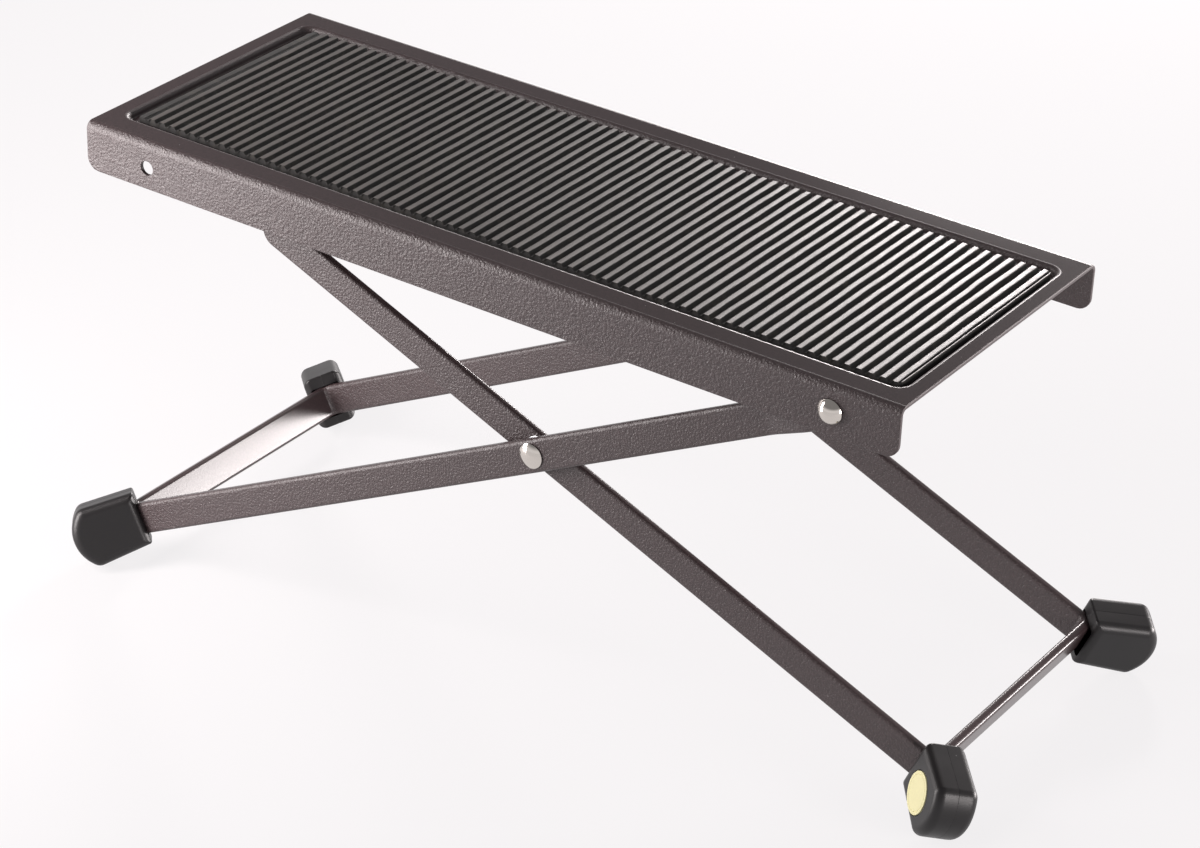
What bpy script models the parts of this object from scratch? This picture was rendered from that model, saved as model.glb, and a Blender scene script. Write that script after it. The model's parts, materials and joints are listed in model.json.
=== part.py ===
"""Folding footrest: a pressed steel plate with a ribbed mat on a scissor of two bent strip frames.

Metres, +Z up. The plate's long side runs along X, the hinge is at its right end, and the front is
at -Y. The origin is on the floor, under the middle of the opened footrest.
"""

import math

import bmesh
import bpy
from mathutils import Matrix, Vector

# Clearances shared by all pieces
SEAT_GAP = 0.0003
OVERRUN = 0.004
WELD = 0.00001

# Top plate: a channel of sheet steel with a shallow recess
PLATE_LENGTH = 0.275
PLATE_WIDTH = 0.1047
SHEET = 0.0012
FLANGE_HEIGHT = 0.0150
BEND_RADIUS = 0.0025
FLANGE_CORNER = 0.0040
HINGE_FROM_END = 0.0208
HINGE_BELOW_TOP = 0.0079
SPARE_HOLE_FROM_END = 0.0228
SPARE_HOLE_BELOW_TOP = 0.0083
SPARE_HOLE_RADIUS = 0.0022
RECESS_LEFT_BORDER = 0.0045
RECESS_RIGHT_BORDER = 0.0042
RECESS_SIDE_BORDER = 0.0085
RECESS_DEPTH = 0.0020
RECESS_CORNER = 0.0050
RECESS_EDGE_RADIUS = 0.0017
RECESS_FOOT_RADIUS = 0.0005
RECESS_WALL_SLOPE = 75

# Rubber mat: a piece of ribbed sheet on the recess's floor, which it leaves bare along its edges
MAT_LEFT_GAP = 0.0024
MAT_RIGHT_GAP = 0.0001
MAT_FRONT_GAP = 0.0009
MAT_REAR_GAP = 0.0021
MAT_CORNER = 0.0015
MAT_BASE_THICKNESS = 0.0012
MAT_RIB_PITCH = 0.003704
MAT_RIB_RISE = 0.0010
MAT_RIB_FOOT = 0.0027
MAT_RIB_CREST = 0.0015

# Strip that both leg frames are bent from
STRIP_WIDTH = 0.0100
STRIP_THICKNESS = 0.0030
STRIP_INNER_BEND = 0.0015

# Outer leg frame, measured along its arms from the hinge
OUTER_FRAME_WIDTH = 0.0986
OUTER_FRAME_LENGTH = 0.2760
HINGE_TO_CROSSING = 0.1073
JOGGLE_START = 0.0110
JOGGLE_END = 0.0240
OUTER_TOE_IN = 0.0010
OUTER_PIN_OFFSET = 0.0004

# Inner leg frame, measured along its arms from the crossing
INNER_FRAME_LENGTH = 0.1417
CROSSING_TO_ROD = 0.1015
INNER_TOE_IN = 0.0003
INNER_PIN_OFFSET = 0.0009

# How far the legs stand open, in degrees, and how far the plate turns with them
LEG_OPENING = 49.2
HIGHEST_OPENING = 77.0
PLATE_TURN_SHARE = 0.5504

# Rivets and washers
PIN_RADIUS = 0.0025
PIN_CLEARANCE = 0.0003
HINGE_HEAD_RADIUS = 0.0037
HINGE_HEAD_HEIGHT = 0.0021
PEEN_RADIUS = 0.0035
PEEN_HEIGHT = 0.0011
CROSSING_HEAD_RADIUS = 0.0038
CROSSING_HEAD_HEIGHT = 0.0011
WASHER_RADIUS = 0.0045
WASHER_THICKNESS = 0.0007

# Adjuster rod, welded between the inner arms
ROD_RADIUS = 0.00275
ROD_END_CHAMFER = 0.0005
ROD_BELOW_TOP = 0.0185

# Height racks
RACK_FROM_ARM_SIDE = 0.0100
RACK_SHEET = 0.0015
RACK_FOOT_WIDTH = 0.0100
RACK_NOTCHES = 4
RACK_NOTCH_DEPTH = 0.0025
RACK_END_LENGTH = 0.0065
RACK_END_CUT = 0.0014
RACK_HEAD_LENGTH = 0.0075

# Rubber boots on the frames' corners
BOOT_THICKNESS = 0.01275
BOOT_MOUTH_WIDTH = 0.0172
BOOT_WIDTH = 0.0191
BOOT_SIDE_LENGTH = 0.0174
BOOT_END_RISE = 0.0048
OUTER_BOOT_GRIP = 0.0044
OUTER_BOOT_SHIFT = 0.0000
INNER_BOOT_GRIP = 0.0035
INNER_BOOT_SHIFT = 0.0008
BOOT_EDGE_RADIUS = 0.0027
BOOT_CORNER_RADIUS = 0.0032
BOOT_MOUTH_CORNER = 0.0007
BOOT_POCKET_DEPTH = 0.0100

# Round inlay in the flat side of one boot
LABEL_RADIUS = 0.0060
LABEL_THICKNESS = 0.0005
LABEL_PROUD = 0.0002
LABEL_FROM_MOUTH = 0.0102
LABEL_OFF_CENTRE = 0.0010

# How finely curves are drawn, and from what angle on an edge stays sharp
ROUND_STEPS = 24
ARC_STEPS = 6
EDGE_STEPS = 4
CORNER_STEPS = 3
STAND_STEPS = 60
SHARP_ANGLE = 35

parts = None
cutters = None


def clear_scene():
    for old in list(bpy.data.objects):
        bpy.data.objects.remove(old, do_unlink=True)


def collection(name):
    group = bpy.data.collections.new(name)
    bpy.context.scene.collection.children.link(group)
    return group


def material(name, colour, roughness, metallic):
    mat = bpy.data.materials.new(name)
    mat.use_nodes = True
    shader = mat.node_tree.nodes["Principled BSDF"]
    shader.inputs["Base Color"].default_value = (*colour, 1.0)
    shader.inputs["Roughness"].default_value = roughness
    shader.inputs["Metallic"].default_value = metallic
    mat.diffuse_color = (*colour, 1.0)
    return mat


def shade_smooth(mesh):
    """Rounds look round, and edges from the sharp angle on stay crisp."""
    mesh.shade_smooth()
    mesh.set_sharp_from_angle(angle=math.radians(SHARP_ANGLE))


def arc(centre, radius, start, end, steps=ARC_STEPS):
    """Points on an arc, from one angle to the other in degrees."""
    points = []
    for step in range(steps + 1):
        angle = math.radians(start + (end - start) * step / steps)
        points.append((centre[0] + radius * math.cos(angle), centre[1] + radius * math.sin(angle)))
    return points


def rounded_rectangle(left, right, low, high, radius):
    outline = arc((right - radius, high - radius), radius, 0, 90)
    outline += arc((left + radius, high - radius), radius, 90, 180)
    outline += arc((left + radius, low + radius), radius, 180, 270)
    outline += arc((right - radius, low + radius), radius, 270, 360)
    return outline


def offset_path(path, distance):
    """The open path moved sideways to its left, with mitred corners."""
    moved = []
    for index, point in enumerate(path):
        before = Vector(path[index - 1]) if index else None
        here = Vector(point)
        after = Vector(path[index + 1]) if index + 1 < len(path) else None
        normals = []
        if before is not None:
            along = (here - before).normalized()
            normals.append(Vector((-along.y, along.x)))
        if after is not None:
            along = (after - here).normalized()
            normals.append(Vector((-along.y, along.x)))
        side = sum(normals, Vector((0, 0))).normalized()
        reach = distance / side.dot(normals[0])
        moved.append(tuple(here + side * reach))
    return moved


def rounded_path(path, corners, radius):
    """The path with an arc of the radius at each listed corner."""
    rounded = []
    for index, point in enumerate(path):
        if index not in corners:
            rounded.append(point)
            continue
        here = Vector(point)
        before = (Vector(path[index - 1]) - here).normalized()
        after = (Vector(path[index + 1]) - here).normalized()
        half = before.angle(after) / 2
        centre = here + (before + after).normalized() * radius / math.sin(half)
        reach = radius / math.tan(half)
        start = here + before * reach - centre
        end = here + after * reach - centre
        sweep = start.angle_signed(end)
        for step in range(ARC_STEPS + 1):
            turned = start.copy()
            turned.rotate(Matrix.Rotation(-sweep * step / ARC_STEPS, 2))
            rounded.append(tuple(centre + turned))
    return rounded


def flat_mesh(name, loops, thickness=0):
    """A mesh of the closed loops in the XY plane, thickened evenly about it."""
    curve = bpy.data.curves.new(name, "CURVE")
    curve.dimensions = "2D"
    curve.fill_mode = "BOTH"
    curve.extrude = thickness / 2
    for loop in loops:
        spline = curve.splines.new("POLY")
        spline.points.add(len(loop) - 1)
        for point, (x, y) in zip(spline.points, loop):
            point.co = (x, y, 0, 1)
        spline.use_cyclic_u = True
    guide = bpy.data.objects.new(name + "_outline", curve)
    bpy.context.scene.collection.objects.link(guide)
    depsgraph = bpy.context.evaluated_depsgraph_get()
    mesh = bpy.data.meshes.new_from_object(guide.evaluated_get(depsgraph))
    bpy.data.objects.remove(guide, do_unlink=True)
    bm = bmesh.new()
    bm.from_mesh(mesh)
    bmesh.ops.remove_doubles(bm, verts=bm.verts, dist=WELD)
    bmesh.ops.recalc_face_normals(bm, faces=bm.faces)
    bm.to_mesh(mesh)
    bm.free()
    mesh.name = name
    return mesh


def place(name, mesh, group, parent, location=(0, 0, 0), rotation=(0, 0, 0), mat=None):
    item = bpy.data.objects.new(name, mesh)
    group.objects.link(item)
    item.parent = parent
    item.location = location
    item.rotation_euler = [math.radians(angle) for angle in rotation]
    if mat is not None:
        mesh.materials.clear()
        mesh.materials.append(mat)
    return item


def cutter(name, mesh, parent, location=(0, 0, 0), rotation=(0, 0, 0)):
    item = place(name, mesh, cutters, parent, location, rotation)
    item.hide_render = True
    item.display_type = "WIRE"
    return item


def boolean(item, tool, operation="DIFFERENCE"):
    modifier = item.modifiers.new(operation.title(), "BOOLEAN")
    modifier.operation = operation
    modifier.solver = "EXACT"
    modifier.object = tool


def cylinder_mesh(name, radius, length):
    mesh = bpy.data.meshes.new(name)
    bm = bmesh.new()
    bmesh.ops.create_cone(bm, cap_ends=True, segments=ROUND_STEPS,
                          radius1=radius, radius2=radius, depth=length)
    bm.to_mesh(mesh)
    bm.free()
    return mesh


def cross_hole(name, item, parent, radius, length, along, below=0):
    """A hole through both arms or flanges, square to the long side."""
    mesh = cylinder_mesh(name, radius, length)
    tool = cutter(name, mesh, parent, (along, 0, below), (90, 0, 0))
    boolean(item, tool)


def turned(name, profile, parent, location, rotation, mat):
    """A solid of revolution about its own Z axis, from a profile listed from top to bottom."""
    mesh = bpy.data.meshes.new(name)
    bm = bmesh.new()
    verts = [bm.verts.new((radius, 0, height)) for radius, height in profile]
    for first, second in zip(verts, verts[1:]):
        bm.edges.new((first, second))
    bm.to_mesh(mesh)
    bm.free()
    item = place(name, mesh, parts, parent, location, rotation, mat)
    screw = item.modifiers.new("Turn", "SCREW")
    screw.steps = ROUND_STEPS
    screw.render_steps = ROUND_STEPS
    screw.use_merge_vertices = True
    screw.merge_threshold = WELD
    screw.use_smooth_shade = True
    return item


def empty(name, location, turn):
    axis = bpy.data.objects.new(name, None)
    parts.objects.link(axis)
    axis.location = location
    axis.rotation_euler = (0, turn, 0)
    return axis


# Top plate

def recess_point(point, inset, depth, half_x, half_y, middle_x):
    """Where a point of the recess's rim lies once the rim is drawn in and pressed down."""
    corner_x = half_x - RECESS_CORNER
    corner_y = half_y - RECESS_CORNER
    centre = Vector((
        middle_x + max(-corner_x, min(corner_x, point.x - middle_x)),
        max(-corner_y, min(corner_y, point.y)),
        point.z,
    ))
    outward = (point - centre).normalized()
    moved = centre + outward * (RECESS_CORNER - inset)
    moved.z = point.z - depth
    return moved


def recess_limits():
    left = HINGE_FROM_END - PLATE_LENGTH + RECESS_LEFT_BORDER
    right = HINGE_FROM_END - RECESS_RIGHT_BORDER
    half_y = PLATE_WIDTH / 2 - RECESS_SIDE_BORDER
    return left, right, half_y


def recess_wall():
    """The recess's wall from the rim to the floor, as steps in from the rim and up from it."""
    slope = math.radians(RECESS_WALL_SLOPE)
    bends = RECESS_EDGE_RADIUS + RECESS_FOOT_RADIUS
    straight = RECESS_DEPTH - bends * (1 - math.cos(slope))
    width = bends * math.sin(slope) + straight / math.tan(slope)
    edge = arc((0, -RECESS_EDGE_RADIUS), RECESS_EDGE_RADIUS, 90, 90 - RECESS_WALL_SLOPE)
    foot = arc((width, RECESS_FOOT_RADIUS - RECESS_DEPTH), RECESS_FOOT_RADIUS, 270 - RECESS_WALL_SLOPE, 270,
               CORNER_STEPS)
    return edge[1:] + foot


def draw_in_rim(bm, rim_edges, rim_left, rim_right, rim_half):
    """The recess's wall and floor, pressed down from the rim."""
    loop = rim_edges
    rim_points = {vert: vert.co.copy() for edge in loop for vert in edge.verts}
    for inset, height in recess_wall():
        before = {vert.co.copy().freeze(): start for vert, start in rim_points.items()}
        made = bmesh.ops.extrude_edge_only(bm, edges=loop)["geom"]
        verts = [item for item in made if isinstance(item, bmesh.types.BMVert)]
        rim_points = {vert: before[vert.co.copy().freeze()] for vert in verts}
        for vert, start in rim_points.items():
            vert.co = recess_point(start, inset, -height, (rim_right - rim_left) / 2, rim_half,
                                   (rim_right + rim_left) / 2)
        loop = [item for item in made if isinstance(item, bmesh.types.BMEdge) and item.is_boundary]
    bmesh.ops.edgeloop_fill(bm, edges=loop)


def fold_down_flange(bm, side, flat_half):
    """One long side's bend and flange, with rounded lower corners."""
    loop = [edge for edge in bm.edges if edge.is_boundary
            and all(abs(vert.co.y - side * flat_half) < WELD for vert in edge.verts)]
    profile = arc((0, -BEND_RADIUS), BEND_RADIUS, 90, 0)[1:]
    profile.append((BEND_RADIUS, -FLANGE_HEIGHT))
    for out, down in profile:
        made = bmesh.ops.extrude_edge_only(bm, edges=loop)["geom"]
        verts = [item for item in made if isinstance(item, bmesh.types.BMVert)]
        for vert in verts:
            vert.co.y = side * (flat_half + out)
            vert.co.z = HINGE_BELOW_TOP + down
        loop = [item for item in made if isinstance(item, bmesh.types.BMEdge) and item.is_boundary
                and all(end in verts for end in item.verts)]
    ends = {vert for edge in loop for vert in edge.verts}
    bmesh.ops.bevel(bm, geom=list(ends), offset=FLANGE_CORNER, offset_type="OFFSET", segments=ARC_STEPS,
                    profile=0.5, affect="VERTICES")


def build_top_plate(hinge, mat):
    left = HINGE_FROM_END - PLATE_LENGTH
    right = HINGE_FROM_END
    flat_half = PLATE_WIDTH / 2 - BEND_RADIUS
    rim_left, rim_right, rim_half = recess_limits()
    border = [(left, -flat_half), (right, -flat_half), (right, flat_half), (left, flat_half)]
    rim = rounded_rectangle(rim_left, rim_right, -rim_half, rim_half, RECESS_CORNER)
    mesh = flat_mesh("top_plate", [border, rim])
    bm = bmesh.new()
    bm.from_mesh(mesh)
    bmesh.ops.translate(bm, verts=bm.verts, vec=(0, 0, HINGE_BELOW_TOP))

    def on_rim(vert):
        return abs(vert.co.y) < flat_half - WELD and rim_left - WELD < vert.co.x < rim_right + WELD

    rim_edges = [edge for edge in bm.edges if edge.is_boundary and all(on_rim(vert) for vert in edge.verts)]
    draw_in_rim(bm, rim_edges, rim_left, rim_right, rim_half)
    fold_down_flange(bm, -1, flat_half)
    fold_down_flange(bm, 1, flat_half)

    bmesh.ops.recalc_face_normals(bm, faces=bm.faces)
    bm.faces.ensure_lookup_table()
    top = max(bm.faces, key=lambda face: face.calc_center_median().z)
    if top.normal.z < 0:
        bmesh.ops.reverse_faces(bm, faces=bm.faces)
    bm.to_mesh(mesh)
    bm.free()
    plate = place("top_plate", mesh, parts, hinge, mat=mat)
    shell = plate.modifiers.new("Sheet", "SOLIDIFY")
    shell.thickness = SHEET
    shell.offset = -1
    shell.use_even_offset = True
    cross_hole("hinge_bore", plate, hinge, PIN_RADIUS + PIN_CLEARANCE, PLATE_WIDTH + OVERRUN, 0)
    spare = SPARE_HOLE_FROM_END + HINGE_FROM_END - PLATE_LENGTH
    cross_hole("spare_bore", plate, hinge, SPARE_HOLE_RADIUS, PLATE_WIDTH + OVERRUN, spare,
               HINGE_BELOW_TOP - SPARE_HOLE_BELOW_TOP)
    return plate


# Rubber mat

def build_mat(hinge, mat):
    """A piece of sheet with ribs across the plate, cut out with rounded corners."""
    rim_left, rim_right, rim_half = recess_limits()
    wall_width = recess_wall()[-1][0]
    left = rim_left + wall_width + MAT_LEFT_GAP
    right = rim_right - wall_width - MAT_RIGHT_GAP
    front = -rim_half + wall_width + MAT_FRONT_GAP
    rear = rim_half - wall_width - MAT_REAR_GAP
    floor = HINGE_BELOW_TOP - RECESS_DEPTH + SEAT_GAP
    valley = floor + MAT_BASE_THICKNESS
    crest = valley + MAT_RIB_RISE

    ribs = int((right - left) / MAT_RIB_PITCH) + 2
    outline = [(left - MAT_RIB_PITCH, floor), (left - MAT_RIB_PITCH, valley)]
    for rib in range(ribs):
        middle = left + MAT_RIB_PITCH * (rib + 1 / 2)
        outline.append((middle - MAT_RIB_FOOT / 2, valley))
        outline.append((middle - MAT_RIB_CREST / 2, crest))
        outline.append((middle + MAT_RIB_CREST / 2, crest))
        outline.append((middle + MAT_RIB_FOOT / 2, valley))
    end = left + MAT_RIB_PITCH * ribs
    outline += [(end, valley), (end, floor)]
    middle_y = (front + rear) / 2
    sheet_mesh = flat_mesh("rubber_mat", [outline], rear - front + 2 * OVERRUN)
    sheet = place("rubber_mat", sheet_mesh, parts, hinge, (0, middle_y, 0), (90, 0, 0), mat)
    cut_mesh = flat_mesh("mat_cut", [rounded_rectangle(left, right, front, rear, MAT_CORNER)],
                         2 * (crest - floor + OVERRUN))
    boolean(sheet, cutter("mat_cut", cut_mesh, hinge, (0, 0, floor)), "INTERSECT")
    return sheet


# Leg frames

def u_outline(arm_end, foot, width, joggle, toe_in):
    """A strip bent to a U: two arms from arm_end to foot, with the joggle's and toe-in's places."""
    middle = width / 2 - STRIP_THICKNESS / 2
    if joggle:
        front = [(arm_end, -middle - joggle), (JOGGLE_START, -middle - joggle),
                 (JOGGLE_END, -middle + toe_in), (HINGE_TO_CROSSING, -middle)]
    else:
        front = [(arm_end, -middle + toe_in), (0, -middle)]
    front.append((foot - STRIP_THICKNESS / 2, -middle))
    rear = [(x, -y) for x, y in reversed(front)]
    path = front + rear
    corners = (len(front) - 1, len(front))
    left = rounded_path(offset_path(path, STRIP_THICKNESS / 2), corners, STRIP_INNER_BEND)
    outer_bend = STRIP_INNER_BEND + STRIP_THICKNESS
    right = rounded_path(offset_path(path, -STRIP_THICKNESS / 2), corners, outer_bend)
    return left + right[::-1]


def build_frame(name, axis, outline, round_end, foot, width, lift, holes, mat):
    """A U of flat strip with rounded arm ends, lifted by a little off the line through its pins."""
    mesh = flat_mesh(name, [outline], STRIP_WIDTH + OVERRUN)
    shade_smooth(mesh)
    frame = place(name, mesh, parts, axis, (0, 0, lift), mat=mat)
    half = STRIP_WIDTH / 2
    side = arc((round_end, 0), half, 90, 270, 2 * ARC_STEPS)
    side += [(foot + OVERRUN, -half), (foot + OVERRUN, half)]
    side_mesh = flat_mesh(name + "_side", [side], width + 2 * OVERRUN)
    tool = cutter(name + "_side", side_mesh, axis, (0, 0, lift), (90, 0, 0))
    boolean(frame, tool, "INTERSECT")
    for number, (along, radius) in enumerate(holes):
        cross_hole(f"{name}_bore_{number}", frame, axis, radius, width + 2 * OVERRUN, along)
    return frame


# Rivets, washers and rod

def dome(radius, height, base):
    """A shallow dome's outer side, from its crown down to its rim."""
    sphere = (radius * radius + height * height) / (2 * height)
    reach = math.degrees(math.asin(radius / sphere))
    centre = base + height - sphere
    points = [(sphere * math.sin(math.radians(reach * step / ARC_STEPS)),
               centre + sphere * math.cos(math.radians(reach * step / ARC_STEPS)))
              for step in range(ARC_STEPS)]
    return points + [(radius, base)]


def rivet_profile(head_radius, head_height, shank, grip):
    """Domed head above z = 0, shank down to -grip, and a peened head below it."""
    profile = dome(head_radius, head_height, 0)
    profile += [(shank, 0), (shank, -grip)]
    peen = [(radius, -grip - height) for radius, height in dome(PEEN_RADIUS, PEEN_HEIGHT, 0)]
    return profile + peen[::-1]


def rod_profile(length):
    """A plain round rod with chamfered ends, from one end to the other."""
    half = length / 2
    upper = [(0, half), (ROD_RADIUS - ROD_END_CHAMFER, half), (ROD_RADIUS, half - ROD_END_CHAMFER)]
    return upper + [(radius, -height) for radius, height in reversed(upper)]


def washer_profile(bore):
    half = WASHER_THICKNESS / 2
    return [(bore, half), (WASHER_RADIUS, half), (WASHER_RADIUS, -half), (bore, -half), (bore, half)]


# Height racks

def rod_in_plate(opening):
    """The rod's place in the plate's own frame while the plate turns with the legs."""
    rest = math.radians(LEG_OPENING)
    angle = math.radians(opening)
    to_rod = HINGE_TO_CROSSING + CROSSING_TO_ROD * math.cos(rest)
    rise = CROSSING_TO_ROD * math.sin(rest)
    drop = math.asin((ROD_BELOW_TOP - HINGE_BELOW_TOP) / math.hypot(to_rod, rise))
    leg_below_plate = math.atan2(rise, to_rod) + drop + (angle - rest) * PLATE_TURN_SHARE
    to_rod = HINGE_TO_CROSSING + CROSSING_TO_ROD * math.cos(angle)
    rise = CROSSING_TO_ROD * math.sin(angle)
    below = leg_below_plate - math.atan2(rise, to_rod)
    reach = math.hypot(to_rod, rise)
    return -reach * math.cos(below), -reach * math.sin(below)


def build_rack(name, hinge, y, inward, mat):
    """A notched web with a foot that is welded under the recess."""
    ceiling = HINGE_BELOW_TOP - RECESS_DEPTH - SHEET - SEAT_GAP
    top = ceiling - RACK_SHEET / 2
    rest = rod_in_plate(LEG_OPENING)
    highest = rod_in_plate(HIGHEST_OPENING)
    lift = ROD_RADIUS + SEAT_GAP
    slope = (highest[1] - rest[1]) / (highest[0] - rest[0])

    def edge(x):
        return rest[1] + lift + slope * (x - rest[0])

    notch = ROD_RADIUS + PIN_CLEARANCE
    left = rest[0] - RACK_END_LENGTH
    right = highest[0] + RACK_HEAD_LENGTH
    end_edge = edge(rest[0]) + RACK_END_CUT
    outline = [(left, top), (left, end_edge), (rest[0] - notch, end_edge)]
    for step in range(RACK_NOTCHES):
        middle = rest[0] + (highest[0] - rest[0]) * step / (RACK_NOTCHES - 1)
        crown = edge(middle) + RACK_NOTCH_DEPTH
        outline += [(x, max(y_point, edge(middle))) for x, y_point in
                    arc((middle, crown - notch), notch, 180, 0)]
        outline.append((middle + notch, edge(middle + notch)))
    outline += [(right, edge(highest[0] + notch)), (right, top)]
    mesh = flat_mesh(name, [outline], RACK_SHEET)
    rack = place(name, mesh, parts, hinge, (0, y, 0), (90, 0, 0), mat)
    outer = -RACK_SHEET / 2 - SEAT_GAP
    foot = [(left + RACK_SHEET, outer), (right - RACK_SHEET, outer),
            (right - RACK_SHEET, outer + RACK_FOOT_WIDTH), (left + RACK_SHEET, outer + RACK_FOOT_WIDTH)]
    foot = [(x, across * inward) for x, across in foot]
    foot_mesh = flat_mesh(name + "_foot", [foot], RACK_SHEET)
    boolean(rack, cutter(name + "_foot", foot_mesh, hinge, (0, y, ceiling - RACK_SHEET / 2)), "UNION")
    return rack


# Rubber boots

def boot_outline(inset):
    """The boot seen on its flat side, drawn in by the inset: X runs out from the mouth."""
    half = BOOT_WIDTH / 2
    end_radius = (half * half + BOOT_END_RISE * BOOT_END_RISE) / (2 * BOOT_END_RISE)
    end_centre = Vector((BOOT_SIDE_LENGTH + BOOT_END_RISE - end_radius, 0))
    flare = math.atan2((BOOT_WIDTH - BOOT_MOUTH_WIDTH) / 2, BOOT_SIDE_LENGTH)
    along = Vector((math.cos(flare), math.sin(flare)))
    inward = Vector((math.sin(flare), -math.cos(flare)))
    start = Vector((0, BOOT_MOUTH_WIDTH / 2)) + inward * BOOT_CORNER_RADIUS - end_centre
    middle = along.dot(start)
    reach = end_radius - BOOT_CORNER_RADIUS
    corner = start + along * (math.sqrt(middle * middle - start.length_squared + reach * reach) - middle)
    meet = math.degrees(math.atan2(corner.y, corner.x))
    corner += end_centre

    mouth = BOOT_MOUTH_WIDTH / 2 - inset / math.cos(flare) + inset * math.tan(flare)
    upper = [(inset, mouth - BOOT_MOUTH_CORNER), (inset + BOOT_MOUTH_CORNER, mouth)]
    upper += arc(corner, BOOT_CORNER_RADIUS - inset, 90 + math.degrees(flare), meet, CORNER_STEPS)
    upper += arc(end_centre, end_radius - inset, meet, 0)[1:]
    return upper + [(x, -y) for x, y in reversed(upper[:-1])]


def loft_mesh(name, rings):
    """A closed solid through rings of equal numbers of points, flat at both ends."""
    mesh = bpy.data.meshes.new(name)
    bm = bmesh.new()
    loops = [[bm.verts.new(point) for point in ring] for ring in rings]
    for first, second in zip(loops, loops[1:]):
        for index in range(len(first)):
            after = (index + 1) % len(first)
            bm.faces.new((first[index], first[after], second[after], second[index]))
    bm.faces.new(loops[0])
    bm.faces.new(loops[-1])
    bmesh.ops.recalc_face_normals(bm, faces=bm.faces)
    bm.to_mesh(mesh)
    bm.free()
    return mesh


def build_boot(name, frame_axis, foot, corner, side, lift, grip, shift, mat):
    """A D-shaped rubber boot pushed over one corner of a frame, on the corner's diagonal."""
    turn = 45 * side
    outward = Vector((1, side, 0)).normalized()
    mouth = Vector((foot, corner * side, 0)) - outward * grip
    mouth += Vector((1, -side, 0)).normalized() * shift
    flat = BOOT_THICKNESS / 2 - BOOT_EDGE_RADIUS
    rings = []
    for face, steps in ((-1, range(EDGE_STEPS, -1, -1)), (1, range(EDGE_STEPS + 1))):
        for step in steps:
            angle = math.pi / 2 * step / EDGE_STEPS
            level = face * (flat + BOOT_EDGE_RADIUS * math.sin(angle))
            inset = BOOT_EDGE_RADIUS * (1 - math.cos(angle))
            rings.append([(x, y, level) for x, y in boot_outline(inset)])
    boot_mesh = loft_mesh(name, rings)
    shade_smooth(boot_mesh)
    boot = place(name, boot_mesh, parts, frame_axis, mouth, (90, 0, turn), mat)

    pocket_half = max(OUTER_BOOT_GRIP + OUTER_BOOT_SHIFT, INNER_BOOT_GRIP + INNER_BOOT_SHIFT)
    pocket_half += SEAT_GAP * math.sqrt(2)
    pocket = [(-OVERRUN, -pocket_half), (BOOT_POCKET_DEPTH, -pocket_half),
              (BOOT_POCKET_DEPTH, pocket_half), (-OVERRUN, pocket_half)]
    pocket_mesh = flat_mesh(name + "_pocket", [pocket], STRIP_WIDTH + 2 * SEAT_GAP)
    pocket_start = mouth + Vector((0, 0, lift))
    boolean(boot, cutter(name + "_pocket", pocket_mesh, frame_axis, pocket_start, (0, 0, turn)))
    return boot


def build_label(boot, frame_axis, mat):
    """A plain round inlay in the flat side of the boot that faces the front and the plate's middle."""
    rotation = [math.degrees(angle) for angle in boot.rotation_euler]
    seat = LABEL_THICKNESS + SEAT_GAP - LABEL_PROUD
    face = boot.matrix_basis @ Vector((LABEL_FROM_MOUTH, -LABEL_OFF_CENTRE, BOOT_THICKNESS / 2))
    inward = boot.matrix_basis.to_3x3() @ Vector((0, 0, -1))
    hollow = cylinder_mesh("label_seat", LABEL_RADIUS + SEAT_GAP, 2 * seat)
    boolean(boot, cutter("label_seat", hollow, frame_axis, face, rotation))
    disc = cylinder_mesh("foot_label", LABEL_RADIUS, LABEL_THICKNESS)
    shade_smooth(disc)
    middle = face + inward * (LABEL_THICKNESS / 2 - LABEL_PROUD)
    place("foot_label", disc, parts, frame_axis, middle, rotation, mat)


def evaluated_points(items):
    """Every vertex of the pieces, in the frame of the axis that carries them."""
    depsgraph = bpy.context.evaluated_depsgraph_get()
    points = []
    for item in items:
        shape = item.evaluated_get(depsgraph)
        mesh = shape.to_mesh()
        local = item.matrix_basis
        points += [local @ vert.co for vert in mesh.vertices]
        shape.to_mesh_clear()
    return points


def turned_points(points, turn, start):
    """The points turned about Y and moved to the axis, as they stand in the world."""
    rotation = Matrix.Rotation(turn, 3, "Y")
    return [start + rotation @ point for point in points]


def stand(outer_points, inner_points):
    """The slope of the outer arms at which the boots of both frames reach the same floor."""
    opening = math.radians(LEG_OPENING)
    low = 0.0
    high = opening
    for _ in range(STAND_STEPS):
        slope = (low + high) / 2
        crossing = Vector((-math.cos(slope), 0, -math.sin(slope))) * HINGE_TO_CROSSING
        outer = turned_points(outer_points, math.pi - slope, Vector((0, 0, 0)))
        inner = turned_points(inner_points, opening - slope, crossing)
        if min(point.z for point in outer) > min(point.z for point in inner):
            low = slope
        else:
            high = slope
    left = min(point.x for point in outer)
    right = max(point.x for point in inner)
    floor = min(point.z for point in outer)
    return slope, crossing, Vector((-(left + right) / 2, 0, -floor))


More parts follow.
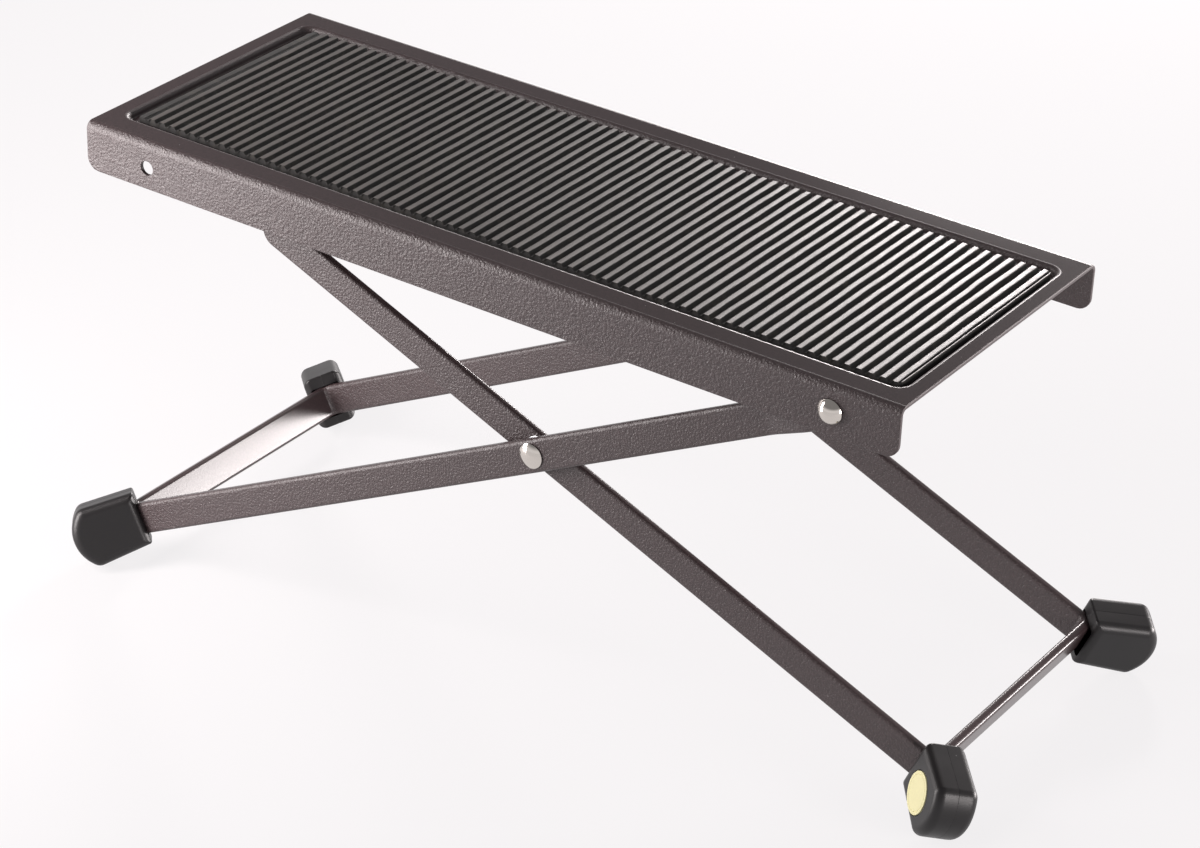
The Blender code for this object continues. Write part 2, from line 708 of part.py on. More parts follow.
def main():
    global parts, cutters
    clear_scene()
    parts = collection("guitar_footrest")
    cutters = collection("footrest_cutters")

    coat = material("satin_black_powder_coat", (0.045, 0.043, 0.045), 0.45, 0.3)
    rubber = material("ribbed_black_rubber", (0.030, 0.030, 0.032), 0.7, 0.0)
    boot_rubber = material("moulded_black_rubber", (0.028, 0.027, 0.028), 0.5, 0.0)
    nickel = material("nickel_plate", (0.60, 0.56, 0.52), 0.25, 1.0)
    zinc = material("zinc_plated_steel", (0.50, 0.51, 0.52), 0.35, 1.0)
    inlay = material("cream_inlay", (0.80, 0.79, 0.42), 0.5, 0.0)

    hinge = empty("hinge_axis", (0, 0, 0), 0)
    outer_axis = empty("outer_frame_axis", (0, 0, 0), 0)
    inner_axis = empty("inner_frame_axis", (0, 0, 0), 0)

    build_top_plate(hinge, coat)
    build_mat(hinge, rubber)

    half_strip = STRIP_WIDTH / 2
    flange_inside = PLATE_WIDTH / 2 - SHEET
    joggle = flange_inside - SEAT_GAP - OUTER_FRAME_WIDTH / 2
    bore = PIN_RADIUS + PIN_CLEARANCE
    outer_outline = u_outline(-half_strip - OVERRUN, OUTER_FRAME_LENGTH, OUTER_FRAME_WIDTH, joggle,
                              OUTER_TOE_IN)
    outer_holes = [(0, bore), (HINGE_TO_CROSSING, bore)]
    build_frame("outer_leg_frame", outer_axis, outer_outline, 0, OUTER_FRAME_LENGTH,
                OUTER_FRAME_WIDTH + 2 * abs(joggle), OUTER_PIN_OFFSET, outer_holes, coat)

    arm_gap = WASHER_THICKNESS + 2 * SEAT_GAP
    inner_width = OUTER_FRAME_WIDTH - 2 * (STRIP_THICKNESS + arm_gap)
    inner_outline = u_outline(-CROSSING_TO_ROD - half_strip - OVERRUN, INNER_FRAME_LENGTH, inner_width, 0,
                              INNER_TOE_IN)
    build_frame("inner_leg_frame", inner_axis, inner_outline, -CROSSING_TO_ROD, INNER_FRAME_LENGTH,
                inner_width, -INNER_PIN_OFFSET, [(0, bore)], coat)

    outer_corner = (outer_axis, OUTER_FRAME_LENGTH, OUTER_FRAME_WIDTH / 2)
    outer_seat = (OUTER_PIN_OFFSET, OUTER_BOOT_GRIP, OUTER_BOOT_SHIFT)
    inner_corner = (inner_axis, INNER_FRAME_LENGTH, inner_width / 2)
    inner_seat = (-INNER_PIN_OFFSET, INNER_BOOT_GRIP, INNER_BOOT_SHIFT)
    outer_boots = []
    inner_boots = []
    for word, side in (("front", -1), ("rear", 1)):
        outer_boots.append(build_boot(f"outer_foot_{word}", *outer_corner, side, *outer_seat, boot_rubber))
        inner_boots.append(build_boot(f"inner_foot_{word}", *inner_corner, side, *inner_seat, boot_rubber))
    bpy.context.view_layer.update()
    build_label(inner_boots[0], inner_axis, inlay)

    hinge_grip = SHEET + STRIP_THICKNESS + 3 * SEAT_GAP
    crossing_grip = 2 * STRIP_THICKNESS + arm_gap + 2 * SEAT_GAP
    hinge_rivet = rivet_profile(HINGE_HEAD_RADIUS, HINGE_HEAD_HEIGHT, PIN_RADIUS, hinge_grip)
    crossing_rivet = rivet_profile(CROSSING_HEAD_RADIUS, CROSSING_HEAD_HEIGHT, PIN_RADIUS, crossing_grip)
    washer = washer_profile(bore)
    rack_place = inner_width / 2 - RACK_FROM_ARM_SIDE
    for word, side in (("front", -1), ("rear", 1)):
        spin = (-90 * side, 0, 0)
        hinge_seat = (0, side * (PLATE_WIDTH / 2 + SEAT_GAP), 0)
        crossing_seat = (HINGE_TO_CROSSING, side * (OUTER_FRAME_WIDTH / 2 + SEAT_GAP), 0)
        washer_seat = (HINGE_TO_CROSSING, side * (inner_width / 2 + arm_gap / 2), 0)
        turned(f"hinge_rivet_{word}", hinge_rivet, hinge, hinge_seat, spin, nickel)
        turned(f"crossing_rivet_{word}", crossing_rivet, outer_axis, crossing_seat, spin, nickel)
        turned(f"crossing_washer_{word}", washer, outer_axis, washer_seat, spin, zinc)
        build_rack(f"height_rack_{word}", hinge, side * rack_place, -side, coat)

    rod_arm_inside = inner_width / 2 - INNER_TOE_IN - STRIP_THICKNESS
    rod_length = 2 * (rod_arm_inside - SEAT_GAP)
    turned("adjuster_rod", rod_profile(rod_length), inner_axis, (-CROSSING_TO_ROD, 0, 0), (90, 0, 0), coat)

    slope, crossing, to_floor = stand(evaluated_points(outer_boots), evaluated_points(inner_boots))
    outer_axis.location = to_floor
    outer_axis.rotation_euler = (0, math.pi - slope, 0)
    inner_axis.location = to_floor + crossing
    inner_axis.rotation_euler = (0, math.radians(LEG_OPENING) - slope, 0)
    hinge.location = to_floor
    rod = rod_in_plate(LEG_OPENING)
    leg_rod = Vector((HINGE_TO_CROSSING + CROSSING_TO_ROD * math.cos(math.radians(LEG_OPENING)),
                      CROSSING_TO_ROD * math.sin(math.radians(LEG_OPENING))))
    rod_slope = slope - math.atan2(leg_rod.y, leg_rod.x)
    plate_slope = rod_slope - math.atan2(-rod[1], -rod[0])
    hinge.rotation_euler = (0, -plate_slope, 0)


if __name__ == "__main__":
    main()
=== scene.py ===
"""The looks of a folding footrest, laid out as an add-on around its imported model.

Metres, +Z up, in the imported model's frame: the plate's long side runs along X, its hinge is at its right
end and its front is at -Y. Each piece is made in the frame of the pin that carries it, and stands where
the node that it replaces stands.
"""

import json
import math

import bmesh
import bpy
from bpy.props import FloatProperty, FloatVectorProperty, PointerProperty
from mathutils import Matrix, Vector, noise


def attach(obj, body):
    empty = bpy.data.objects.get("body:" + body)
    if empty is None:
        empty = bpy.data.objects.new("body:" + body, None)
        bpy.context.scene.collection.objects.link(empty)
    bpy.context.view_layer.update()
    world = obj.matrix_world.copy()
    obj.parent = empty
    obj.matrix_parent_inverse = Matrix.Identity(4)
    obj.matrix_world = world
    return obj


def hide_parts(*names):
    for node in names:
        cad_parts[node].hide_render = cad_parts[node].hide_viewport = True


bl_info = {
    "name": "Folding Footrest",
    "version": (1, 0, 0),
    "blender": (4, 5, 0),
    "location": "3D View > Sidebar > Footrest",
    "description": "Dresses the packed model of a folding footrest, piece by piece",
    "category": "Add Mesh",
}

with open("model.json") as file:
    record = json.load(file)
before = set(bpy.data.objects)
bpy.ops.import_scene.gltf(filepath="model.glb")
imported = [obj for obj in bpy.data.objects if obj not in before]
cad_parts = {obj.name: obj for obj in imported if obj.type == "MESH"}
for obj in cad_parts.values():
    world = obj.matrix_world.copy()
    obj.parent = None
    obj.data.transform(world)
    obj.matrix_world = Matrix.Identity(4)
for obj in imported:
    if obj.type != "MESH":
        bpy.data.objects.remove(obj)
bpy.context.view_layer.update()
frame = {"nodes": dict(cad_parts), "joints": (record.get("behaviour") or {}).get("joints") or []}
PINS = {joint["name"]: Vector(joint["pos_m"]) for joint in frame["joints"]}
HINGE = PINS["plate_tilt"]
CROSSING = PINS["legs_fold"]

# How finely rounds are drawn: steps on a quarter turn, and on a whole one, and steps along a rib
QUARTER = 6
ROUND = 48
RIB_STEPS = 36
# Points closer than this are one, and edges turned further than this are sharp
WELD = 0.000001
SHARP_ANGLE = math.radians(38)
# Half of the width left at the very tip of a round end
TIP = 0.00001
SIDES = (("front", -1), ("rear", 1))
# Each lamp's width and height, its place, and the place that it is turned to
LAMPS = {
    "rear_lamp": ((0.17, 0.17), (-0.31, 0.94, 0.41), (0.05, 0, 0.13)),
    "left_lamp": ((0.16, 0.4), (-0.325, -0.245, 0.2), (-0.255, 0, 0.12)),
    "right_lamp": ((0.5, 0.08), (0.55, 0.70, 0.055), (0, 0, 0.04)),
    "side_lamp": ((0.16, 0.2), (0.62, -0.12, 0.12), (0.13, -0.03, 0.02)),
}


def linear(code):
    """An sRGB hex colour as the linear values that shaders take."""
    values = [int(code[at:at + 2], 16) / 255 for at in (1, 3, 5)]
    return [value / 12.92 if value <= 0.04045 else ((value + 0.055) / 1.055) ** 2.4 for value in values]


def length(name, description, default):
    return FloatProperty(name=name, description=description, default=default, min=0.0, precision=5,
                         subtype="DISTANCE", unit="LENGTH")


def offset(name, description, default):
    return FloatProperty(name=name, description=description, default=default, precision=5,
                         subtype="DISTANCE", unit="LENGTH")


def slope(name, description, degrees):
    return FloatProperty(name=name, description=description, default=math.radians(degrees),
                         subtype="ANGLE", unit="ROTATION")


def factor(name, description, default):
    return FloatProperty(name=name, description=description, default=default, min=0.0, max=1.0,
                         subtype="FACTOR")


def power(name, description, default):
    return FloatProperty(name=name, description=description, default=default, min=0.0, subtype="POWER",
                         unit="POWER")


def colour(name, description, code):
    return FloatVectorProperty(name=name, description=description, default=linear(code), size=3,
                               min=0.0, max=1.0, subtype="COLOR")


class PlateSettings(bpy.types.PropertyGroup):
    """Sizes of the pressed steel plate, measured from its hinge pin."""

    slope: slope("Slope", "How far the plate slopes down towards its hinge", 4.5367)
    length: length("Length", "Along the plate's long side", 0.275)
    width: length("Width", "Over the flanges", 0.1047)
    sheet: length("Sheet", "Thickness of the steel sheet", 0.0012)
    flange: length("Flange Height", "From the top face down to the flange's edge", 0.015)
    bend: length("Bend Radius", "Outside radius between top and flange", 0.0025)
    flange_corner: length("Flange Corner", "Radius of the flange's lower corners", 0.004)
    edge: length("Edge Break", "Rounding of the coated cut edges", 0.00022)
    hinge_from_end: length("Hinge From End", "From the right end to the hinge pin", 0.0208)
    hinge_below_top: length("Hinge Below Top", "From the top face down to the hinge pin", 0.0079)
    spare_hole: length("Spare Hole", "Radius of the spare hole near the left end", 0.0022)
    hole_from_end: length("Hole From End", "From the left end to the spare hole", 0.0228)
    hole_below_top: length("Hole Below Top", "From the top face down to the spare hole", 0.0083)
    left_border: length("Left Border", "Flat border at the left end", 0.0045)
    right_border: length("Right Border", "Flat border at the right end", 0.0042)
    side_border: length("Side Border", "From the plate's side to the recess", 0.0085)
    recess_depth: length("Recess Depth", "How deep the mat's recess is pressed", 0.002)
    recess_corner: length("Recess Corner", "Radius of the recess's corners at its rim", 0.005)
    recess_edge: length("Recess Edge", "Radius between the border and the recess's wall", 0.0017)
    recess_foot: length("Recess Foot", "Radius between the recess's wall and its floor", 0.0005)
    wall_slope: slope("Wall Slope", "Slope of the recess's wall", 75)


class MatSettings(bpy.types.PropertyGroup):
    """Sizes of the ribbed rubber mat, a piece cut from a ribbed sheet and glued into the recess."""

    left_gap: length("Left Gap", "Between the recess's wall and the mat at the left", 0.0024)
    right_gap: length("Right Gap", "Between the recess's wall and the mat at the right", 0.0001)
    front_gap: length("Front Gap", "Between the recess's wall and the mat at the front", 0.0009)
    rear_gap: length("Rear Gap", "Between the recess's wall and the mat at the rear", 0.0021)
    corner: length("Corner Radius", "Rounding of the mat's cut corners", 0.0015)
    turn: slope("Turn", "How far the mat was glued out of line", 0.25)
    seat: length("Seat", "Glue line under the mat", 0.0003)
    base: length("Base Thickness", "Thickness of the sheet between its ribs", 0.0012)
    pitch: length("Rib Pitch", "From rib to rib", 0.003704)
    pull: length("Pull", "How far the middle ribs were pulled to the right as the mat was glued", 0.0012)
    rise: length("Rib Rise", "Height of a rib above the base", 0.001)
    foot: length("Rib Foot", "Width of a rib at its foot", 0.0028)
    crest: length("Rib Crest", "Width of a rib's flat crest", 0.0015)
    crest_round: length("Crest Rounding", "Rounding of the crest's edges", 0.0001)
    foot_round: length("Foot Rounding", "Rounding beside a rib's foot", 0.00018)
    first_share: factor("First Rib", "Height of the worn first rib against the others", 0.55)
    wear: factor("Wear", "How much of a rib's height is worn off where shoes wore it most", 0.06)
    edge_strip: length("Edge Strip", "Width of the cut rib left at the right edge", 0.00045)
    wander: length("Wander", "How far a rib strays from its straight line", 0.00012)
    wander_length: length("Wander Length", "Length of one bend of a rib", 0.011)
    end_hollow: length("End Hollow", "How deep a rib's cut end is dished", 0.0003)
    end_lip: length("End Lip", "Width of the lip round a rib's cut end", 0.00013)


class LegSettings(bpy.types.PropertyGroup):
    """Sizes of the two frames of bent flat strip."""

    outer_slope: slope("Outer Slope", "Slope of the outer frame's arms", 22.5351)
    inner_slope: slope("Inner Slope", "Slope of the inner frame's arms", 26.6649)
    width: length("Strip Width", "Width of the flat strip", 0.010)
    thickness: length("Strip Thickness", "Thickness of the flat strip", 0.003)
    edge: length("Rolled Edge", "Radius of the strip's rolled edges", 0.0011)
    bend: length("Corner Bend", "Radius of a corner at the middle of the strip", 0.003)
    outer_frame_width: length("Outer Frame Width", "Over the outer frame's arms", 0.0986)
    outer_length: length("Outer Length", "From the hinge to the outer frame's foot", 0.276)
    hinge_to_crossing: length("Hinge To Crossing", "Along the outer arms", 0.1073)
    joggle: length("Joggle", "How far the outer arms step out at the hinge", 0.00155)
    joggle_start: length("Joggle Start", "From the hinge to the step", 0.011)
    joggle_end: length("Joggle End", "From the hinge to the step's end", 0.024)
    joggle_bend: length("Joggle Bend", "Radius of the step's bends", 0.02)
    outer_toe_in: length("Outer Toe In", "How far the outer arms lean in after the step", 0.001)
    outer_lift: offset("Outer Strip Offset", "Of the strip's middle below its pins", 0.0004)
    inner_frame_width: length("Inner Frame Width", "Over the inner frame's arms", 0.090)
    inner_length: length("Inner Length", "From the crossing to the inner frame's foot", 0.1417)
    crossing_to_rod: length("Crossing To Rod", "Along the inner arms", 0.1015)
    inner_toe_in: length("Inner Toe In", "How far the inner arms lean in at the rod", 0.0003)
    inner_lift: offset("Inner Strip Offset", "Of the strip's middle above its pins", -0.0009)


class PinSettings(bpy.types.PropertyGroup):
    """Sizes of the rivets, washers and rod."""

    clearance: length("Clearance", "Gap between pieces that touch", 0.0003)
    shank: length("Shank Radius", "Radius of the rivets", 0.0025)
    hinge_head: length("Hinge Head Radius", "Radius of the domed head", 0.0037)
    hinge_rise: length("Hinge Head Height", "Height of the domed head", 0.0021)
    crossing_head: length("Crossing Head Radius", "Radius of the low head", 0.0038)
    crossing_rise: length("Crossing Head Height", "Height of the low head", 0.0011)
    peen: length("Peen Radius", "Radius of the hammered end", 0.0035)
    peen_rise: length("Peen Height", "Height of the hammered end", 0.0011)
    washer: length("Washer Radius", "Radius of the washers between the arms", 0.0045)
    washer_thickness: length("Washer Thickness", "Thickness of the washers", 0.0007)
    rod: length("Rod Radius", "Radius of the adjuster rod", 0.00275)
    rod_chamfer: length("Rod Chamfer", "Chamfer at the rod's ends", 0.0005)
    bead: length("Weld Bead", "Width of the weld round the rod's ends", 0.0013)
    edge: length("Edge Break", "Rounding of turned edges", 0.0002)


class BootSettings(bpy.types.PropertyGroup):
    """Sizes of the rubber boots and of the round inlay in one of them."""

    thickness: length("Thickness", "Between the boot's flat sides", 0.01275)
    mouth: length("Mouth Width", "Width at the open end", 0.0172)
    width: length("Width", "Width before the rounded end", 0.01908)
    side: length("Side Length", "From the mouth to the rounded end", 0.0174)
    end_rise: length("End Rise", "How far the rounded end bulges", 0.00477)
    edge: length("Edge Radius", "Rounding between flat sides and rim", 0.0027)
    corner: length("Corner Radius", "Rounding between sides and end", 0.0032)
    lip: length("Lip Rounding", "Rounding of the mouth's edges", 0.0007)
    pocket_depth: length("Pocket Depth", "How deep the strip goes in", 0.010)
    parting_depth: length("Parting Line Depth", "Of the mould's line round the rim", 0.00007)
    parting_width: length("Parting Line Width", "Of the mould's line round the rim", 0.0003)
    outer_grip: length("Outer Grip", "From the mouth to the outer frame's corner", 0.0044)
    inner_grip: length("Inner Grip", "From the mouth to the inner frame's corner", 0.0035)
    inner_shift: length("Inner Shift", "Of the inner frame's boots, towards its middle", 0.0008)
    inlay: length("Inlay Radius", "Radius of the round inlay", 0.006)
    inlay_thickness: length("Inlay Thickness", "Thickness of the round inlay", 0.0005)
    inlay_proud: length("Inlay Proud", "How far the inlay stands out", 0.0002)
    inlay_from_mouth: length("Inlay From Mouth", "From the mouth to the inlay's middle", 0.0102)
    inlay_off_centre: length("Inlay Off Centre", "From the boot's middle line", 0.001)
    inlay_ring: length("Inlay Ring", "Radius of the pressed ring on the inlay", 0.0051)
    inlay_groove: length("Inlay Groove", "Depth of the pressed ring, and half its width", 0.0001)


class FinishSettings(bpy.types.PropertyGroup):
    """Colours of the real materials."""

    coat: colour("Powder Coat", "Black polyester powder coat", "#372c2d")
    mat: colour("Mat Rubber", "Ribbed black rubber", "#1c1b1a")
    worn: colour("Worn Rubber", "The mat's rubber where shoes have scuffed it", "#4f4a47")
    boot: colour("Boot Rubber", "Moulded black rubber", "#161415")
    nickel: colour("Nickel", "Bright nickel plate", "#d8cfc4")
    zinc: colour("Zinc", "Clear zinc plate", "#c3c6c8")
    inlay: colour("Inlay", "Cream enamel inlay", "#dfdaa8")
    dust: colour("Dust", "Dust and light specks on the coat", "#959090")
    stain: colour("Stain", "Brown smudges of old glue and dirt on the mat", "#3c3832")
    specks: colour("Specks", "Dust on the boots", "#7c7c7c")


class StageSettings(bpy.types.PropertyGroup):
    """The floor, lamps and camera."""

    floor: length("Floor Size", "Side of the square floor", 8.0)
    floor_colour: colour("Floor Colour", "Pale floor", "#cbc8c9")
    backdrop: colour("Backdrop", "What the camera sees behind the footrest", "#fbf9fa")
    lens: FloatProperty(name="Lens", description="Focal length on a 36 mm sensor", default=0.1088,
                        subtype="DISTANCE_CAMERA", unit="CAMERA")
    view_from: FloatVectorProperty(name="View From", description="The camera's place", size=3, precision=5,
                                   default=(0.55112, -0.76303, 0.54152), subtype="XYZ", unit="LENGTH")
    view_turn: FloatVectorProperty(name="View Turn", description="The camera's turn", size=3,
                                   default=[math.radians(turn) for turn in (63.01063, 1.76712, 34.81236)],
                                   subtype="EULER", unit="ROTATION")
    rear_lamp: power("Rear Lamp", "The low lamp behind, which the ribs' crests mirror", 9.3)
    left_lamp: power("Left Lamp", "The tall lamp at the front left, near the plate's free end", 4.1)
    right_lamp: power("Right Lamp", "The low lamp at the rear right", 9.0)
    side_lamp: power("Side Lamp", "The small lamp beside the right boots", 2.0)
    warmth: colour("Lamp Colour", "Slightly warm white of the lamps", "#fff8f7")
    ambient: factor("Ambient", "Strength of the white room", 0.42)
    ceiling: factor("Ceiling", "Strength of the dim room above, as gloss mirrors it", 0.3)


# Frames of the pins

def on_pin(place, turn):
    """The frame of a piece on a pin, turned about the pin's own direction."""
    return Matrix.Translation(place) @ Matrix.Rotation(turn, 4, "Y")


def plate_frame(scene):
    return on_pin(HINGE, scene.footrest_plate.slope)


def outer_frame(scene):
    return on_pin(HINGE, math.pi - scene.footrest_legs.outer_slope)


def inner_frame(scene):
    return on_pin(CROSSING, scene.footrest_legs.inner_slope)


# Shapes

def arc(centre, radius, start, end, steps=QUARTER):
    """Points on an arc, from one angle to the other in degrees."""
    points = []
    for step in range(steps + 1):
        turn = math.radians(start + (end - start) * step / steps)
        points.append((centre[0] + radius * math.cos(turn), centre[1] + radius * math.sin(turn)))
    return points


def rounded_rectangle(left, right, low, high, radius, steps=QUARTER):
    outline = arc((right - radius, high - radius), radius, 0, 90, steps)
    outline += arc((left + radius, high - radius), radius, 90, 180, steps)
    outline += arc((left + radius, low + radius), radius, 180, 270, steps)
    return outline + arc((right - radius, low + radius), radius, 270, 360, steps)


def rounded_path(path, radii):
    """The open path with an arc at each listed corner, as points of a plane."""
    rounded = []
    for index, point in enumerate(path):
        if index not in radii:
            rounded.append(Vector(point))
            continue
        here = Vector(point)
        before = (Vector(path[index - 1]) - here).normalized()
        after = (Vector(path[index + 1]) - here).normalized()
        half = before.angle(after) / 2
        centre = here + (before + after).normalized() * radii[index] / math.sin(half)
        reach = radii[index] / math.tan(half)
        start = here + before * reach - centre
        sweep = start.angle_signed(here + after * reach - centre)
        for step in range(QUARTER + 1):
            turned = start.copy()
            turned.rotate(Matrix.Rotation(-sweep * step / QUARTER, 2))
            rounded.append(centre + turned)
    return rounded


def loft(rings, closed=False):
    """A mesh through rings of equal numbers of points, capped at both ends unless it closes on itself."""
    bm = bmesh.new()
    loops = [[bm.verts.new(point) for point in ring] for ring in rings]
    followers = loops[1:] + loops[:1] if closed else loops[1:]
    for first, second in zip(loops, followers):
        for index in range(len(first)):
            after = (index + 1) % len(first)
            bm.faces.new((first[index], first[after], second[after], second[index]))
    if not closed:
        bm.faces.new(loops[0])
        bm.faces.new(loops[-1])
    bmesh.ops.recalc_face_normals(bm, faces=bm.faces)
    return bm


def turned(profile, closed=False):
    """A solid of revolution about Z, from a profile of radius and height listed from top to bottom."""
    rings = []
    for radius, height in profile:
        ring = []
        for step in range(ROUND):
            turn = math.tau * step / ROUND
            ring.append((radius * math.cos(turn), radius * math.sin(turn), height))
        rings.append(ring)
    return loft(rings, closed)


def filled(bm, outlines, place):
    """Fills the first outline, leaving the others open, and gives each outline's vertices."""
    loops = []
    edges = []
    for outline in outlines:
        verts = [bm.verts.new(place(*point)) for point in outline]
        edges += [bm.edges.new((verts[at - 1], verts[at])) for at in range(len(verts))]
        loops.append(verts)
    bmesh.ops.triangle_fill(bm, use_beauty=True, use_dissolve=False, edges=edges)
    return loops


def bridge(bm, first, second):
    """Faces between two open rows of vertices of the same length."""
    for at in range(len(first) - 1):
        bm.faces.new((first[at], first[at + 1], second[at + 1], second[at]))


def piece(context, name, bm, place, body, finish, node):
    """Puts the mesh, given in the frame at place, in the scene, on its body and in place of its node."""
    mesh = bpy.data.meshes.new(name)
    bm.transform(place)
    bm.to_mesh(mesh)
    bm.free()
    mesh.shade_smooth()
    mesh.set_sharp_from_angle(angle=SHARP_ANGLE)
    mesh.materials.append(finish)
    item = bpy.data.objects.new(name, mesh)
    context.scene.collection.objects.link(item)
    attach(item, body)
    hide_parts(node)
    return item


def modify(item, kind, **settings):
    modifier = item.modifiers.new(kind.title(), kind)
    for name, value in settings.items():
        setattr(modifier, name, value)
    return modifier


def settle(context, item):
    """Makes the piece's modifiers part of its mesh."""
    context.view_layer.update()
    shape = item.evaluated_get(context.evaluated_depsgraph_get())
    mesh = bpy.data.meshes.new_from_object(shape, preserve_all_data_layers=True,
                                           depsgraph=context.evaluated_depsgraph_get())
    old = item.data
    item.modifiers.clear()
    item.data = mesh
    bpy.data.meshes.remove(old)
    mesh.name = item.name


def cut(context, item, place, bm):
    """Cuts the mesh, given in the frame at place, out of the piece."""
    mesh = bpy.data.meshes.new("cut")
    bm.to_mesh(mesh)
    bm.free()
    tool = bpy.data.objects.new("cut", mesh)
    context.scene.collection.objects.link(tool)
    tool.matrix_world = place
    context.view_layer.update()
    modify(item, "BOOLEAN", operation="DIFFERENCE", solver="EXACT", object=tool)
    settle(context, item)
    bpy.data.objects.remove(tool, do_unlink=True)


def bore(context, item, place, along, radius, reach):
    """Drills both arms through at one place, square to the long side."""
    across = Matrix.Translation((along, 0, 0)) @ Matrix.Rotation(math.pi / 2, 4, "X")
    cut(context, item, place @ across, turned([(radius, reach), (radius, -reach)]))


# Materials

def add_node(tree, kind, inputs=None, **settings):
    """Adds a node with its settings. Each of its inputs in use is named, or numbered where names repeat, and
    takes a value, an output, or the first output in use of another node."""
    node = tree.nodes.new("ShaderNode" + kind)
    for name, value in settings.items():
        setattr(node, name, value)
    used = [socket for socket in node.inputs if socket.enabled]
    for name, value in (inputs or {}).items():
        socket = used[name] if isinstance(name, int) else next(each for each in used if each.name == name)
        if isinstance(value, bpy.types.Node):
            value = next(output for output in value.outputs if output.enabled)
        if isinstance(value, bpy.types.NodeSocket):
            tree.links.new(value, socket)
        else:
            socket.default_value = value
    return node


def new_material(name):
    """An empty material and its node tree."""
    material = bpy.data.materials.new(name)
    material.use_nodes = True
    material.node_tree.nodes.clear()
    return material, material.node_tree


def powder_coat(context, name, edge_gloss):
    """Black polyester powder coat, baked on steel. It sets to a fine wrinkle, which breaks its gloss up on
    the broad sides. It flows out smooth on the top, the rims and the narrow edges, and the flat border
    mirrors the room darkly. The bar's rolled edges come out glossier than the sheet's pressed rims."""
    if name in bpy.data.materials:
        return bpy.data.materials[name]
    finish = context.scene.footrest_finish
    slant = context.scene.footrest_plate.slope
    up = (math.sin(slant), 0, math.cos(slant))
    material, tree = new_material(name)
    place = add_node(tree, "TexCoord").outputs
    # Masks for the flat border, and for all that doesn't face the front or the rear
    facing = add_node(tree, "VectorMath", {0: place["Normal"], 1: up}, operation="DOT_PRODUCT")
    flat = add_node(tree, "MapRange", {"Value": facing, "From Min": 0.998, "From Max": 0.9999},
                    interpolation_type="SMOOTHSTEP")
    across = add_node(tree, "SeparateXYZ", {"Vector": place["Normal"]})
    across = add_node(tree, "Math", {0: across.outputs["Y"]}, operation="ABSOLUTE")
    lying = add_node(tree, "MapRange", {"Value": across, "From Min": 0.5, "From Max": 0.25},
                     interpolation_type="SMOOTHSTEP")
    # Wrinkles about 0.65 mm apart, and slow pull of the coat over 6 mm
    wrinkle = add_node(tree, "TexNoise", {"Vector": place["Object"], "Scale": 1 / 0.00065, "Detail": 2.0,
                                          "Roughness": 0.5})
    pull = add_node(tree, "TexNoise", {"Vector": place["Object"], "Scale": 1 / 0.006, "Detail": 2.0})
    depth = add_node(tree, "MapRange", {"Value": lying, "To Min": 1.0, "To Max": 0.03})
    relief = add_node(tree, "Bump", {"Height": wrinkle, "Strength": depth, "Distance": 0.0003})
    # Dust and light specks, a few in each square centimetre
    speck = add_node(tree, "TexVoronoi", {"Vector": place["Object"], "Scale": 1 / 0.0055})
    dust = add_node(tree, "MapRange", {"Value": speck, "From Min": 0.045, "From Max": 0.02, "To Max": 0.6})
    # The colour follows the wrinkles' height: painted shade darkens their hollows and painted light brightens
    # their ridges
    tone = add_node(tree, "MapRange", {"Value": wrinkle, "From Min": 0.3, "From Max": 0.7, "To Min": 0.8,
                                       "To Max": 1.2})
    shade = add_node(tree, "Mix", {"Factor": 1.0, "A": (*finish.coat, 1), "B": tone}, data_type="RGBA",
                     blend_type="MULTIPLY")
    shade = add_node(tree, "Mix", {"Factor": dust, "A": shade, "B": (*finish.dust, 1)}, data_type="RGBA")
    # Roughness on the broad sides, on edges and rims, and on the flat border
    gloss = add_node(tree, "MapRange", {"Value": pull, "From Min": 0.3, "From Max": 0.7, "To Min": 0.42,
                                        "To Max": 0.5})
    gloss = add_node(tree, "Mix", {"Factor": lying, "A": gloss, "B": edge_gloss}, data_type="FLOAT")
    gloss = add_node(tree, "Mix", {"Factor": flat, "A": gloss, "B": 0.1}, data_type="FLOAT")
    shader = add_node(tree, "BsdfPrincipled", {"Base Color": shade, "Roughness": gloss, "IOR": 1.56,
                                               "Normal": relief})
    add_node(tree, "OutputMaterial", {"Surface": shader})
    return material


def sheet_coat(context):
    """The coat on pressed sheet."""
    return powder_coat(context, "powder_coat_on_sheet", 0.45)


def bar_coat(context):
    """The coat on rolled bar."""
    return powder_coat(context, "powder_coat_on_bar", 0.3)


